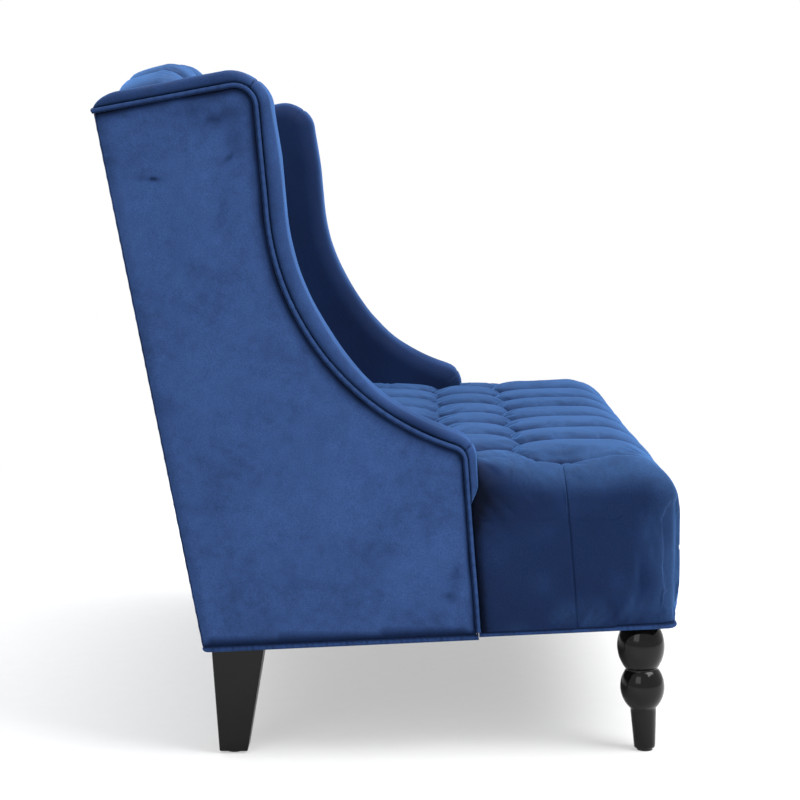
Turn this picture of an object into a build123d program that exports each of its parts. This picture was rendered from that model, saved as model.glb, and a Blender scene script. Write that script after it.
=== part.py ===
from build123d import *
import os
from math import cos, degrees, radians, sin

# A high back settee: two winged arms, an arched tufted back and a T-shaped tufted seat on four legs.
# Millimetres and degrees. X runs across the settee, -Y is the front, +Z is up.

# Whole settee
overall_width = 1180
arm_width = 100             # each arm and wing, out to its welt
ear_setback = 15            # sides of the wide front of the seat, in from the outside of the arms
base_height = 165           # under the base, at y = 0
base_rake = 2.8             # the base stands higher at the front
seat_height = 430           # crown of the seat
seat_front_y = -406         # crown of the seat's front face
back_foot_y = 259           # rear edge of the base
back_recline = 10.8

# Outline of the wing and arm, seen from the side, along the welt
wing_top_y = 182
wing_top_z = 944
wing_top_slope = 10.4
wing_lean = 5
wing_corner_radius = 30
wing_sweep_radius = 371
arm_nose_y = -106
arm_nose_z = 438
arm_nose_radius = 20
arm_slope = 18.1
arm_front_lean = 4.55

# Padded border of the wing and arm, outside the welt
border_wing = 24
border_top = 21
border_arm = 17
border_front = 15
border_outer_round = 16
border_inner_round = 31
border_end_z = 363          # the border fades into the welt down here
border_end_length = 40

# Soft parts
soft_gap = 0.3              # between curved or soft faces that nearly touch
cover_thickness = 3         # outside panels
pad_thickness = 15          # inner face of the arm and wing
pad_wrap = 2                # padding over the edge of the side frame
welt_width = 8
welt_height = 6
front_tufts = 8             # tufts across the wide front, where they are most
ear_edge_strip = 50         # from the outermost tuft to the side of the wide front
puff_crown = 14             # crown of a channel above its seams
quilt_thickness = 22        # from the seams down to the foam
seat_edge_radius = 88       # crown of the rounded front edge
ear_side_radius = 34
ear_seam_radius = 13
ear_wall = 12
ear_lap = 60                # the wide front is drawn this far past the arm's front, then cut
seat_side_wall = 8
seat_deck_z = 300           # bottom of the seat foam
seat_slab_rear = 300        # slabs of the seat are drawn back to here, then cut
seat_slab_low = 100         # and down to here

# Tuft rows of the seat, from the front to the back
seat_row_front_y = -207
seat_row_second_y = -166
seat_row_third_y = -88
seat_row_rear_y = -59

# Back, measured in its own plane: up the rear face, and forwards from it
arch_rise = 62
arch_end_margin = 60        # from the end of the arch to the arm
arch_blend_radius = 150     # where the arch meets the level wing tops
back_top_thickness = 105
back_seat_thickness = 140
back_top_front_round = 42
back_top_rear_round = 18
back_row_low = 420          # tuft rows, up from the rear edge of the base
back_row_second = 462
back_row_third = 560
back_row_high = 602
back_tip_length = 40        # pointed top of a channel, under the rounded top edge
back_arch_crest = 21
back_seam_notch = 9
back_slab_low = -60         # slabs of the back are drawn down to here, then cut
back_slab_high = 1100       # and up to here

# Frame
ply = 18
side_frame_ply = 15
rail_thickness = 24
rail_top_z = 285
side_rail_thickness = 45
post_depth = 30
post_width = 40
post_middle_x = 165
top_rail_height = 75
lumbar_rail_height = 60
lumbar_rail_up = 270        # up from the rear edge of the base
lumbar_rail_depth = 15
stretcher_width = 25
stretcher_height = 60
window_margin = 62          # width of the side frames round their windows
window_corner = 25
spacer_length = 60
leg_block_height = 40
dust_cover_thickness = 1.5
corner_block_size = 70

# Suspension
spring_wire = 3.8
spring_spacing = 110
spring_pitch = 28           # one bar to the next
spring_bend_share = 0.45    # bend radius of the wire, of that pitch
spring_width = 52
clip_width = 18
clip_depth = 14
clip_height = 5
tie_rod_diameter = 3
tie_rod_front_share = 0.35  # of the way from the front rail to the rear rail
tie_rod_rear_share = 0.65
webbing_width = 50
webbing_thickness = 2
webbing_count = 5
webbing_spacing = 165
insulator_thickness = 4
tie_diameter = 3

# Legs
front_leg_inset = 45        # from the side of the wide front to the middle of the leg
front_leg_y = -358
front_leg_top_radius = 24
front_ball_radius = 33.8
front_ball_drop = 33        # its widest point, down from the base
front_neck_radius = 22.5
front_neck_drop = 64
lower_ball_radius = 31.5
lower_ball_drop = 88
front_taper_radius = 18.7
front_taper_drop = 121
front_foot_radius = 15
rear_leg_inset = 26         # from the outer plywood to the middle of the leg
rear_leg_y = 211
rear_leg_top = 75
rear_foot_y = 220
rear_leg_foot = 40
glide_radius = 11
glide_height = 3
glide_nail_radius = 1.5
glide_nail_length = 14
nail_end_gap = 2
bolt_radius = 4
bolt_length = 56
bolt_in_leg = 28
bolt_end_gap = 2
nut_radius = 5.5
nut_flange_radius = 11
nut_flange_height = 1.5
nut_length = 12
fit_clearance = 0.1
screw_radius = 3
screw_head_radius = 6
screw_head_height = 3
screw_length = 45
side_screw_height = 60      # of the bolts through the side frames, up from the frame's underside
side_screw_front_y = -60
side_screw_middle_y = 60
side_screw_rear_y = 170

# Small amounts that several pieces share
base_welt_inset = 1         # of the welt's outside, from the outside of the arms
base_welt_proud = 2         # of the welt, behind the rear edge
welt_crest_flat = 0.5       # half the flat left on a rounded welt
cut_margin = 1              # a cutter reaches this far past what it cuts
near_plane = 1              # an edge this near a plane counts as lying on it
tiny = 0.01                 # points closer than this are in the same place

# Places worked out from the sizes above
seat_width = overall_width - arm_width * 2
ear_width = overall_width - ear_setback * 2
arm_inner_x = seat_width / 2
panel_outer_x = overall_width / 2 - welt_height + cover_thickness
panel_inner_x = panel_outer_x - cover_thickness
frame_inner_x = arm_inner_x + pad_thickness
outer_ply_x = panel_inner_x - ply
ear_x = ear_width / 2
seam_z = seat_height - puff_crown
foam_top_z = seam_z - quilt_thickness
seam_front_y = seat_front_y + puff_crown
seam_edge_radius = seat_edge_radius - puff_crown
foam_front_y = seam_front_y + quilt_thickness
foam_edge_radius = seam_edge_radius - quilt_thickness
outer_seam_x = ear_x - ear_edge_strip
puff_width = outer_seam_x * 2 / (front_tufts - 1)
ear_side_round = min(ear_side_radius, ear_edge_strip - ear_seam_radius - soft_gap)
border_room = panel_inner_x - arm_inner_x - soft_gap
border_outer = min(border_outer_round, border_room * border_outer_round
                   / (border_outer_round + border_inner_round))
border_inner = min(border_inner_round, border_room - border_outer)
arch_half_width = arm_inner_x - arch_end_margin
side_rail_x = frame_inner_x - side_rail_thickness - pad_thickness
spring_count = int((side_rail_x * 2 - spring_width - clip_width) / spring_spacing) + 1
front_leg_x = ear_x - front_leg_inset
rear_leg_x = outer_ply_x - rear_leg_inset
far = 2000                  # longer than the settee, for cutting


# Outline helpers, in the side view: y to the right, z up

def shifted_line(y, z, angle, outwards):
    """A line of the side outline, moved outwards: a point on it and its direction."""
    direction = Vector(cos(radians(angle)), sin(radians(angle)))
    return Vector(y, z) + Vector(direction.Y, -direction.X) * outwards, direction


def meet(first, second):
    """Where two such lines cross."""
    (a, along), (b, other) = first, second
    scale = along.X * other.Y - along.Y * other.X
    step = ((b.X - a.X) * other.Y - (b.Y - a.Y) * other.X) / scale
    crossing = a + along * step
    return crossing.X, crossing.Y


def side_lines(rear, top, wing, arm, front, base):
    """The six edges of the side outline, each moved outwards by its own amount."""
    foot_z = base_height - back_foot_y * sin(radians(base_rake)) / cos(radians(base_rake))
    return [
        shifted_line(back_foot_y, foot_z, 90 - back_recline, rear),
        shifted_line(wing_top_y, wing_top_z, 180 - wing_top_slope, top),
        shifted_line(wing_top_y, wing_top_z, 270 - wing_lean, wing),
        shifted_line(arm_nose_y, arm_nose_z, 180 + arm_slope, arm),
        shifted_line(arm_nose_y, arm_nose_z, 270 - arm_front_lean, front),
        shifted_line(0, base_height, -base_rake, base),
    ]


def side_corners(rear, top, wing, arm, front, base):
    """Corners of the side outline, from the rear of the base round by the wing to the arm."""
    lines = side_lines(rear, top, wing, arm, front, base)
    return [meet(lines[i - 1], lines[i]) for i in range(len(lines))]


def side_plate(x0, x1, rear=0, top=0, wing=0, arm=0, front=0, base=0):
    """A plate of the wing and arm outline, between two places across the settee."""
    corners = side_corners(rear, top, wing, arm, front, base)
    wing_corner = max(wing_corner_radius + wing, 0)
    nose_corner = max(arm_nose_radius + front, 0)
    radii = [0, 0, wing_corner, wing_sweep_radius - wing, nose_corner, 0]
    return yz_plate(corners, x0, x1, radii)


def yz_plate(points, x0, x1, radii=None):
    """A plate with a side-view outline, between two places across the settee."""
    if radii:
        edge = FilletPolyline(*points, radius=radii, close=True)
    else:
        edge = Polyline(*points, close=True)
    face = make_face(edge.edges())
    return extrude(Plane.YZ.offset(x0) * face, amount=x1 - x0, dir=(1, 0, 0))


def both_sides(piece):
    """The same piece on the other side of the settee."""
    return mirror(piece, about=Plane.YZ)


def base_z(y, up=0):
    """Height of the raked base at y, or of a plane above it."""
    slope = sin(radians(base_rake)) / cos(radians(base_rake))
    return base_height + up / cos(radians(base_rake)) - y * slope


def rear_y(z, forwards=0):
    """The reclined rear face at height z, or a plane in front of it."""
    slope = sin(radians(back_recline)) / cos(radians(back_recline))
    return back_foot_y + (z - base_z(back_foot_y)) * slope - forwards / cos(radians(back_recline))


def on_base_or_rear(p):
    """Whether a point of an arm or wing lies on its base or on its rear face."""
    return p.Z < base_z(p.Y, frame_bottom) + near_plane or p.Y > rear_y(p.Z, cover_thickness) - near_plane


def edges_at_x(piece, x, is_skipped):
    """Edges of a plate's outline on its face at x, without the skipped ones."""
    ring = [e for e in piece.edges() if all(abs((e @ share).X - x) < tiny for share in (0, 0.5, 1))]
    return [e for e in ring if not is_skipped(e @ 0.5)]


base_plane = Plane(origin=(0, 0, base_height), x_dir=(1, 0, 0),
                   z_dir=(0, sin(radians(base_rake)), cos(radians(base_rake))))
back_plane = Plane(origin=(0, back_foot_y, base_z(back_foot_y)), x_dir=(1, 0, 0),
                   z_dir=(0, -cos(radians(back_recline)), sin(radians(back_recline))))
frame_bottom = welt_width           # frame and panels stop above the base welt
cover_rear = -cover_thickness       # everything inside stops at the outside back
frame_edge = -pad_wrap - soft_gap


# Arms and wings

def below_border(gap):
    """The space in front of the arm where its border has faded into the welt."""
    line, direction = side_lines(0, 0, 0, 0, gap, 0)[4]
    start = line + direction * ((border_end_z - line.Y) / direction.Y)
    low = line + direction * ((-far - line.Y) / direction.Y)
    reach = border_front + border_inner
    return yz_plate([(start.X, start.Y), (start.X - reach, start.Y + border_end_length + reach),
                     (-far, start.Y), (low.X, low.Y)], -far, far)


def arm_space(gap):
    """The whole arm and wing with its border, grown by a gap, to cut its neighbours."""
    space = side_plate(arm_inner_x - gap, far, far, border_top + gap, border_wing + gap,
                       border_arm + gap, border_front + gap, far)
    return space - below_border(gap)


def make_side_pad():
    """Inner pad and padded border of one arm and wing, hollow for the side frame."""
    pad = side_plate(arm_inner_x, panel_inner_x, cover_rear, border_top, border_wing,
                     border_arm, border_front, -frame_bottom)

    pad = fillet(edges_at_x(pad, panel_inner_x, on_base_or_rear), border_outer)
    pad = fillet(edges_at_x(pad, arm_inner_x, on_base_or_rear), border_inner)
    pad -= side_plate(frame_inner_x, far, far, -pad_wrap, -pad_wrap, -pad_wrap, -pad_wrap, far)
    pad -= below_border(0)
    return pad - back_frame_space(soft_gap)


def make_side_frame(x0, x1):
    """One plywood side of an arm and wing, with a window in the arm and one in the wing."""
    frame = side_plate(x0, x1, cover_rear, frame_edge, frame_edge, frame_edge, frame_edge,
                       -frame_bottom)
    inset = [-window_margin] * 5 + [-window_margin - leg_block_height]
    inner = yz_plate(side_corners(*inset), x0, x1, [window_corner] * 6)
    bar_z = rail_top_z + window_margin
    return frame - (inner - Pos(0, 0, bar_z) * Box(far, far, window_margin))


def make_side_spacers():
    """Blocks that hold the two plywood sides of an arm apart, from the nose to the wing top."""
    x0 = frame_inner_x + side_frame_ply
    band = side_plate(x0, outer_ply_x, cover_rear, frame_edge, frame_edge, frame_edge, frame_edge,
                      -frame_bottom)
    band -= side_plate(x0, outer_ply_x, -rail_thickness, -rail_thickness, -rail_thickness,
                       -rail_thickness, -rail_thickness, frame_bottom)
    zones = [(arm_nose_y, arm_nose_z), (wing_top_y, wing_top_z - spacer_length),
             (wing_top_y + spacer_length * 2, wing_top_z - spacer_length),
             (back_foot_y + spacer_length, (wing_top_z + base_height) / 2)]
    blocks = []
    for y, z in zones:
        blocks += (band & Pos(x0, y, z) * Box(far, spacer_length * 2, spacer_length)).solids()
    return Compound(children=blocks)


def make_arm_base_rail():
    """Bottom rail between the two plywood sides, which carries the rear leg."""
    x0 = frame_inner_x + side_frame_ply
    y0 = arm_nose_y + rail_thickness
    y1 = rear_y(base_z(back_foot_y), cover_thickness + post_depth)
    rail = yz_plate([(y0, base_z(y0, frame_bottom)), (y1, base_z(y1, frame_bottom)),
                     (y1, base_z(y1, frame_bottom + leg_block_height)),
                     (y0, base_z(y0, frame_bottom + leg_block_height))], x0, outer_ply_x)
    return rail - leg_holes()


def make_outside_panel():
    """Velvet over board on the outside of one arm and wing."""
    inset = -welt_width / 2 - soft_gap
    return side_plate(panel_inner_x, panel_outer_x, cover_rear, inset, inset, inset, inset,
                      -frame_bottom)


def make_side_welt():
    """Welt cord between an outside panel and its border, up the arm, up the wing and along its top."""
    half = welt_width / 2
    outer_x = overall_width / 2
    band = side_plate(panel_inner_x, outer_x, cover_rear, half, half, half, half, -frame_bottom)
    band -= side_plate(panel_inner_x, outer_x, cover_rear, -half, -half, -half, -half, -frame_bottom)

    return fillet(edges_at_x(band, outer_x, on_base_or_rear), half - welt_crest_flat)


# Back

def arch_face(grow, half_width):
    """Outline of the back in its own plane, up to the arched top, grown upwards."""
    height = arch_top(arch_half_width) + grow
    edges = [
        Line((-half_width, 0), (half_width, 0)),
        Line((half_width, 0), (half_width, height)),
        Line((half_width, height), (arch_half_width, height)),
        ThreePointArc((arch_half_width, height), (0, height + arch_rise), (-arch_half_width, height)),
        Line((-arch_half_width, height), (-half_width, height)),
        Line((-half_width, height), (-half_width, 0)),
    ]
    face = make_face(edges)
    corners = [v for v in face.vertices() if abs(abs(v.X) - arch_half_width) < near_plane]
    return fillet(corners, arch_blend_radius)


def arch_top(x):
    """Height of the back's outline at x, up from the rear edge of the base."""
    side_top = side_corners(0, 0, 0, 0, 0, 0)[1]
    height = (side_top[1] - base_z(back_foot_y)) / cos(radians(back_recline))
    radius = arch_radius()
    if abs(x) >= arch_half_width:
        return height
    return height + arch_rise - radius + (radius ** 2 - x ** 2) ** 0.5


def arch_radius():
    """Radius of the arch over the back."""
    return (arch_half_width ** 2 + arch_rise ** 2) / (2 * arch_rise)


def arch_plate(grow, half_width, start, end):
    """A plate of the back's outline, between two depths in front of the rear face."""
    face = back_plane * Pos(0, 0, start) * arch_face(grow, half_width)
    return extrude(face, amount=end - start, dir=back_plane.z_dir)


def back_profile(front_top, front_seat, rear):
    """Side-view outline of the back: reclined behind, thicker at the seat in front."""
    low, high = back_slab_low, back_slab_high
    seat_up = (seat_height - base_z(back_foot_y)) / cos(radians(back_recline))
    top_up = seat_up + (wing_top_z - seat_height) / cos(radians(back_recline))
    slope = (front_top - front_seat) / (top_up - seat_up)
    front_low = front_seat + (low - seat_up) * slope
    front_high = front_seat + (high - seat_up) * slope
    corners = [(low, rear), (high, rear), (high, front_high), (low, front_low)]
    places = [back_plane.from_local_coords((0, up, out)) for up, out in corners]
    return [(p.Y, p.Z) for p in places]


def back_block(half_width, quilt, grow, rear):
    """The back between the wings, as far forward as its seams, less a quilt thickness."""
    profile = back_profile(back_top_thickness - puff_crown - quilt,
                           back_seat_thickness - puff_crown - quilt, rear)
    block = yz_plate(profile, -half_width, half_width)
    return block & arch_plate(grow, half_width, rear - cut_margin, far / 4)


def back_frame_space(gap):
    """Space that the back frame takes, down to the base and out to the side frames."""
    front = cover_thickness + post_depth + gap
    return arch_plate(frame_edge + gap, frame_inner_x + gap, -cut_margin, front)


def front_plane_of_back():
    """Plane of the back's seams: x across, y up its front face, z out towards the sitter."""
    points = back_profile(back_top_thickness - puff_crown, back_seat_thickness - puff_crown, 0)
    high, low = Vector(0, *points[2]), Vector(0, *points[3])
    up = (high - low).normalized()
    level = Vector(0, 0, base_z(back_foot_y))
    origin = low + up * ((level.Z - low.Z) / up.Z)
    return Plane(origin=origin, x_dir=(1, 0, 0), z_dir=Vector(1, 0, 0).cross(up))


def puff_section():
    """Crowned section of a channel."""
    half = puff_width / 2
    return make_face([ThreePointArc((-half, 0), (0, puff_crown), (half, 0)), Line((half, 0), (-half, 0))])


def puff(x, start, end, first_tip=None, last_tip=None):
    """One channel between two seams, crowned across, with pointed ends at its tufts."""
    def at(y):
        return Plane(origin=(x, y, 0), x_dir=(1, 0, 0), z_dir=(0, -1, 0)) * puff_section()

    body = extrude(at(start), amount=end - start, dir=(0, 1, 0))
    if first_tip is not None:
        body += loft([at(start), Vertex(x, first_tip, 0)])
    if last_tip is not None:
        body += loft([at(end), Vertex(x, last_tip, 0)])
    return body


def puff_places(count):
    """Centres of a number of channels side by side."""
    return [(i - (count - 1) / 2) * puff_width for i in range(count)]


def make_back_cover():
    """Tufted velvet back with its quilting, rolled over the arched top of the frame."""
    half = arm_inner_x - soft_gap
    cover = back_block(half, 0, back_arch_crest, cover_thickness)
    cover = fillet(top_edges(cover, post_depth, far), back_top_front_round)
    cover = fillet(top_edges(cover, -far, post_depth), back_top_rear_round)
    front = front_plane_of_back()
    low = (seat_height - base_z(back_foot_y)) / cos(radians(back_recline)) + puff_crown / 2
    tufts = []
    for x in puff_places(front_tufts - 1):
        tip = arch_top(abs(x) + puff_width / 2) + back_arch_crest - back_top_front_round
        tufts.append(puff(x, low, back_row_low, last_tip=back_row_second))
        tufts.append(puff(x, back_row_high, tip - back_tip_length, back_row_third, tip))
    for x in puff_places(front_tufts - 2):
        tufts.append(puff(x, back_row_second, back_row_third, back_row_low, back_row_high))
    limit = Box(half * 2, far, far)
    for tuft in tufts:
        cover += (front * tuft) & limit
    for x in puff_places(front_tufts - 2):
        cover -= seam_notch(x)
    cover -= back_block(half - seat_side_wall, quilt_thickness, -pad_wrap, -cover_thickness)
    cover -= back_frame_space(soft_gap)
    return cover - Pos(0, 0, seat_deck_z - far / 2) * Box(far, far, far)


def top_edges(block, low, high):
    """Edges along the arched top of a block, between two depths in front of the rear face."""
    level = arch_top(arch_half_width)
    chosen = []
    for edge in block.edges():
        ends = [back_plane.to_local_coords(edge @ place) for place in (0, 1)]
        middle = back_plane.to_local_coords(edge @ 0.5)
        if min(p.Y for p in ends) > level and abs(ends[0].X - ends[1].X) > 1 and low < middle.Z < high:
            chosen.append(edge)
    return chosen


def seam_notch(x):
    """The groove of a channel's seam where it passes over the top of the back."""
    radius = arch_radius()
    apex = arch_top(0) + back_arch_crest
    turn = Rot(0, 0, -degrees(x / radius))
    depth = back_seam_notch
    wedge = make_face(Polyline((-depth, cut_margin), (depth, cut_margin), (0, -depth), close=True).edges())
    place = Pos(0, apex - radius, 0) * turn * Pos(0, radius, 0)
    return extrude(back_plane * place * wedge, amount=far / 4, dir=back_plane.z_dir)


def make_back_foam():
    """Foam behind the quilting of the back."""
    half = arm_inner_x - seat_side_wall - soft_gap * 2
    rear = cover_thickness + post_depth + webbing_thickness
    foam = back_block(half, quilt_thickness + soft_gap, frame_edge, rear)
    return foam - Pos(0, 0, seat_deck_z - far / 2) * Box(far, far, far)


def make_outside_back():
    """Velvet over board on the back of the settee."""
    panel = arch_plate(-welt_width / 2, panel_outer_x, 0, cover_thickness)
    return panel - below_base(frame_bottom)


def make_back_welt():
    """Welt cord along the arched top of the outside back."""
    half = welt_width / 2
    outer = arch_plate(half, overall_width / 2, -welt_height / 2, cover_thickness)
    return outer - arch_plate(-half, far, -welt_height, cover_thickness + cut_margin)


def below_base(up):
    """Everything under a plane above the base."""
    return base_plane * Pos(0, 0, up - far / 2) * Box(far, far, far)


def make_back_posts():
    """Uprights of the back frame."""
    posts = []
    side_x = frame_inner_x - post_width / 2
    under_rail = arch_plate(frame_edge - top_rail_height, frame_inner_x, cover_thickness,
                            cover_thickness + post_depth)
    for x in (-side_x, -post_middle_x, post_middle_x, side_x):
        post = under_rail & Pos(x, 0, 0) * Box(post_width, far, far)
        post -= below_base(frame_bottom)
        posts.append(post - make_lumbar_rail())
    return Compound(children=[s for p in posts for s in p.solids()])


def make_back_top_rail():
    """Arched top rail of the back frame."""
    inner, outer = cover_thickness, cover_thickness + post_depth
    rail = arch_plate(frame_edge, frame_inner_x, inner, outer)
    return rail - arch_plate(frame_edge - top_rail_height, frame_inner_x, inner, outer)


def make_lumbar_rail():
    """Rail across the back frame just above the seat, let into the uprights."""
    rail = Pos(0, lumbar_rail_up, cover_thickness + post_depth - lumbar_rail_depth / 2)
    return back_plane * rail * Box(frame_inner_x * 2, lumbar_rail_height, lumbar_rail_depth)


def make_back_webbing():
    """Elastic straps up the back, from the rear seat rail to the top rail."""
    straps = []
    front = cover_thickness + post_depth
    zone = arch_plate(frame_edge - webbing_width / 2, arm_inner_x, front, front + webbing_thickness)
    zone -= Pos(0, 0, seat_deck_z - far / 2) * Box(far, far, far)
    for i in range(webbing_count):
        x = (i - (webbing_count - 1) / 2) * webbing_spacing
        straps += (zone & Pos(x, 0, 0) * Box(webbing_width, far, far)).solids()
    return Compound(children=straps)


# Seat

def seat_plate(x0, x1, front, top, radius, rear=seat_slab_rear):
    """A slab of the seat, from its rounded front edge back to a plane across the settee."""
    points = [(rear, seat_slab_low), (rear, top), (front, top), (front, seat_slab_low)]
    return yz_plate(points, x0, x1, [0, 0, radius, 0])


def front_puff(x):
    """A channel of the seat that runs over the front edge and down the front face."""
    edge_y = seam_front_y + seam_edge_radius
    start = Plane(origin=(x, edge_y, seam_z), x_dir=(1, 0, 0), z_dir=(0, -1, 0)) * puff_section()
    pivot = Axis((x, edge_y, seam_z - seam_edge_radius), (1, 0, 0))
    turned = start.rotate(pivot, 90)
    body = revolve(start, pivot, 90)
    body += extrude(turned, amount=seat_height, dir=(0, 0, -1))
    body += Pos(0, 0, seam_z) * puff(x, edge_y, seat_row_front_y, last_tip=seat_row_second_y)
    return body


def ear_edge(y0, y1, with_seam):
    """The outer edge of the seat's wide front, rounded at the side and at the first seam."""
    strip = seat_plate(outer_seam_x, ear_x, seat_front_y, seat_height, seat_edge_radius)

    def lower_or_rear(p):
        return p.Z < seat_slab_low + near_plane or p.Y > seat_slab_rear - near_plane

    strip = fillet(edges_at_x(strip, ear_x, lower_or_rear), ear_side_round)
    if with_seam:
        strip = fillet(edges_at_x(strip, outer_seam_x, lower_or_rear), ear_seam_radius)
    return strip & Pos(0, (y0 + y1) / 2, 0) * Box(far, y1 - y0, far)


def seat_envelope(inset, front, top, radius):
    """The T of the seat inside its cover, with the wide front and the part between the arms."""
    half = arm_inner_x - soft_gap - inset
    ear = ear_x - inset - (ear_wall - seat_side_wall)
    middle = seat_plate(-half, half, front, top, radius)
    wide = seat_plate(-ear, ear, front, top, radius, rear=arm_nose_y + ear_lap)
    return middle, wide


def make_seat_cover():
    """Tufted velvet seat with its quilting: T-shaped, over the front edge and down to the base."""
    half = arm_inner_x - soft_gap
    nose = arm_nose_y + ear_lap
    cover = seat_plate(-half, half, seam_front_y, seam_z, seam_edge_radius)
    cover += seat_plate(-outer_seam_x, outer_seam_x, seam_front_y, seam_z, seam_edge_radius, rear=nose)
    front_edge = ear_edge(-far / 2, seat_row_front_y, True)
    rear_edge = ear_edge(seat_row_front_y, nose, False)
    cover += front_edge + rear_edge
    cover += both_sides(front_edge) + both_sides(rear_edge)
    for x in puff_places(front_tufts - 1):
        cover += front_puff(x)
    level = Pos(0, 0, seam_z)
    rear_zone = Box(half * 2, far, far)
    front_zone = Pos(0, nose - far / 2, 0) * Box(outer_seam_x * 2, far, far)
    for x in puff_places(front_tufts):
        channel = level * puff(x, seat_row_second_y, seat_row_third_y, seat_row_front_y, seat_row_rear_y)
        if abs(x) + puff_width / 2 > half:
            channel = (channel & rear_zone) + (channel & front_zone)
        cover += channel
    for x in puff_places(front_tufts - 1):
        cover += level * puff(x, seat_row_rear_y, seat_slab_rear, seat_row_third_y) & rear_zone
    middle, wide = seat_envelope(seat_side_wall, foam_front_y, foam_top_z, foam_edge_radius)
    cover -= middle + wide
    cover -= arm_space(soft_gap) + both_sides(arm_space(soft_gap))
    cover -= Pos(0, nose + far / 2, seat_deck_z - far / 2) * Box(far, far, far)
    cover -= back_block(far / 2, -soft_gap, far, -far / 4)
    return cover - below_base(frame_bottom)


def make_seat_foam():
    """Foam slab of the seat, on the spring deck."""
    gap = soft_gap
    middle, wide = seat_envelope(seat_side_wall + gap, foam_front_y + gap, foam_top_z, foam_edge_radius)
    foam = middle + wide
    foam -= arm_space(gap) + both_sides(arm_space(gap))
    foam -= back_block(far / 2, -gap, far, -far / 4)
    foam -= Pos(0, 0, seat_deck_z - far / 2) * Box(far, far, far)
    for x, y in tuft_places():
        foam -= Pos(x, y, foam_top_z) * Cylinder(tie_diameter / 2 + soft_gap, far / 4)
    return foam


def tuft_places():
    """Every tuft of the seat."""
    half = arm_inner_x - tie_diameter
    rows = [(seat_row_front_y, front_tufts), (seat_row_second_y, front_tufts - 1),
            (seat_row_third_y, front_tufts - 1), (seat_row_rear_y, front_tufts - 2)]
    places = [(x, y) for y, count in rows for x in puff_places(count)]
    return [(x, y) for x, y in places if abs(x) < half or y < arm_nose_y - border_front]


def make_seat_ties():
    """Twine that pulls each tuft of the seat down to the deck."""
    height = foam_top_z - seat_deck_z
    middle = seat_deck_z + height / 2
    return Compound(children=[Pos(x, y, middle) * Cylinder(tie_diameter / 2, height)
                              for x, y in tuft_places()])


def make_seat_insulator():
    """Felt pad between the springs and the foam."""
    half = arm_inner_x - seat_side_wall
    front = foam_front_y + rail_thickness
    rear = rear_y(seat_deck_z - insulator_thickness, cover_thickness + post_depth)
    pad = Pos(0, (front + rear) / 2, seat_deck_z - insulator_thickness / 2)
    return pad * Box(half * 2, rear - front, insulator_thickness)


# Seat frame

def rail(x0, x1, y0, y1, top=None, height=None):
    """A rail or block that stands on the raked base, to a level top or of an even height."""
    if top is None:
        high = [base_z(y1, frame_bottom + height), base_z(y0, frame_bottom + height)]
    else:
        high = [top, top]
    points = [(y0, base_z(y0, frame_bottom)), (y1, base_z(y1, frame_bottom)), (y1, high[0]), (y0, high[1])]
    return yz_plate(points, x0, x1)


front_rail_y = foam_front_y + soft_gap
rear_rail_y = rear_y(base_z(back_foot_y, frame_bottom), cover_thickness + post_depth) - rail_thickness
ear_rail_x = ear_x - ear_wall - soft_gap - ply


def make_front_rail():
    """Rail across the wide front of the seat."""
    end = ear_x - ear_wall - soft_gap
    board = rail(-end, end, front_rail_y, front_rail_y + rail_thickness, top=rail_top_z)
    return board - leg_holes()


def make_rear_rail():
    """Rail across the back of the seat, against the uprights."""
    y0 = rear_rail_y
    low = base_z(y0, frame_bottom)
    foot = rear_y(low, cover_thickness + post_depth)
    head = rear_y(rail_top_z, cover_thickness + post_depth)
    points = [(y0, low), (foot, base_z(foot, frame_bottom)), (head, rail_top_z), (y0, rail_top_z)]
    wide = yz_plate(points, -arm_inner_x + soft_gap, arm_inner_x - soft_gap)
    return wide - back_frame_space(0)


def make_seat_side_rail():
    """Rail along one side of the seat, from the front rail to the rear rail."""
    x0 = side_rail_x
    side = rail(x0, x0 + side_rail_thickness, front_rail_y + rail_thickness, rear_rail_y, top=rail_top_z)
    return side - side_screw_holes(fit_clearance)


def make_seat_stretchers():
    """Two boards from the front rail to the rear rail, under the springs."""
    y0, y1 = front_rail_y + rail_thickness, rear_rail_y
    half = stretcher_width / 2
    return Compound(children=[rail(x - half, x + half, y0, y1, height=stretcher_height)
                              for x in (-post_middle_x, post_middle_x)])


def make_ear_rail():
    """Outer board of the seat's wide front, from the front rail to the arm."""
    board = rail(ear_rail_x, ear_rail_x + ply, front_rail_y + rail_thickness, arm_nose_y, top=rail_top_z)
    return board - arm_space(soft_gap)


def make_ear_back():
    """Board of the wide front that closes its box against the arm."""
    y1 = side_lines(0, 0, 0, 0, soft_gap, 0)[4][0].X - rail_thickness
    board = rail(side_rail_x + side_rail_thickness, ear_rail_x, y1 - ply, y1, top=rail_top_z)
    return board - arm_space(soft_gap)


def make_front_leg_block():
    """Hardwood block in the corner of the wide front, for the front leg's nut."""
    y0 = front_rail_y + rail_thickness
    block = rail(side_rail_x + side_rail_thickness, ear_rail_x, y0, y0 + corner_block_size,
                 height=leg_block_height)
    return block - leg_holes()


def make_corner_blocks():
    """Triangular glue blocks in the four corners of the seat box."""
    blocks = []
    size = corner_block_size
    for side in (-1, 1):
        for y, turn in ((front_rail_y + rail_thickness, 1), (rear_rail_y, -1)):
            x = side * side_rail_x
            corner = Polyline((x, y), (x - side * size, y), (x, y + turn * size), close=True)
            prism = extrude(Pos(0, 0, base_z(y)) * make_face(corner.edges()), amount=size, dir=(0, 0, 1))
            blocks.append(prism - below_base(frame_bottom))
    return Compound(children=[s for b in blocks for s in b.solids()])


def side_screw_places():
    """Bolts that hold the side frames to the seat box."""
    return [(y, base_z(y, frame_bottom + side_screw_height))
            for y in (side_screw_front_y, side_screw_middle_y, side_screw_rear_y)]


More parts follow.
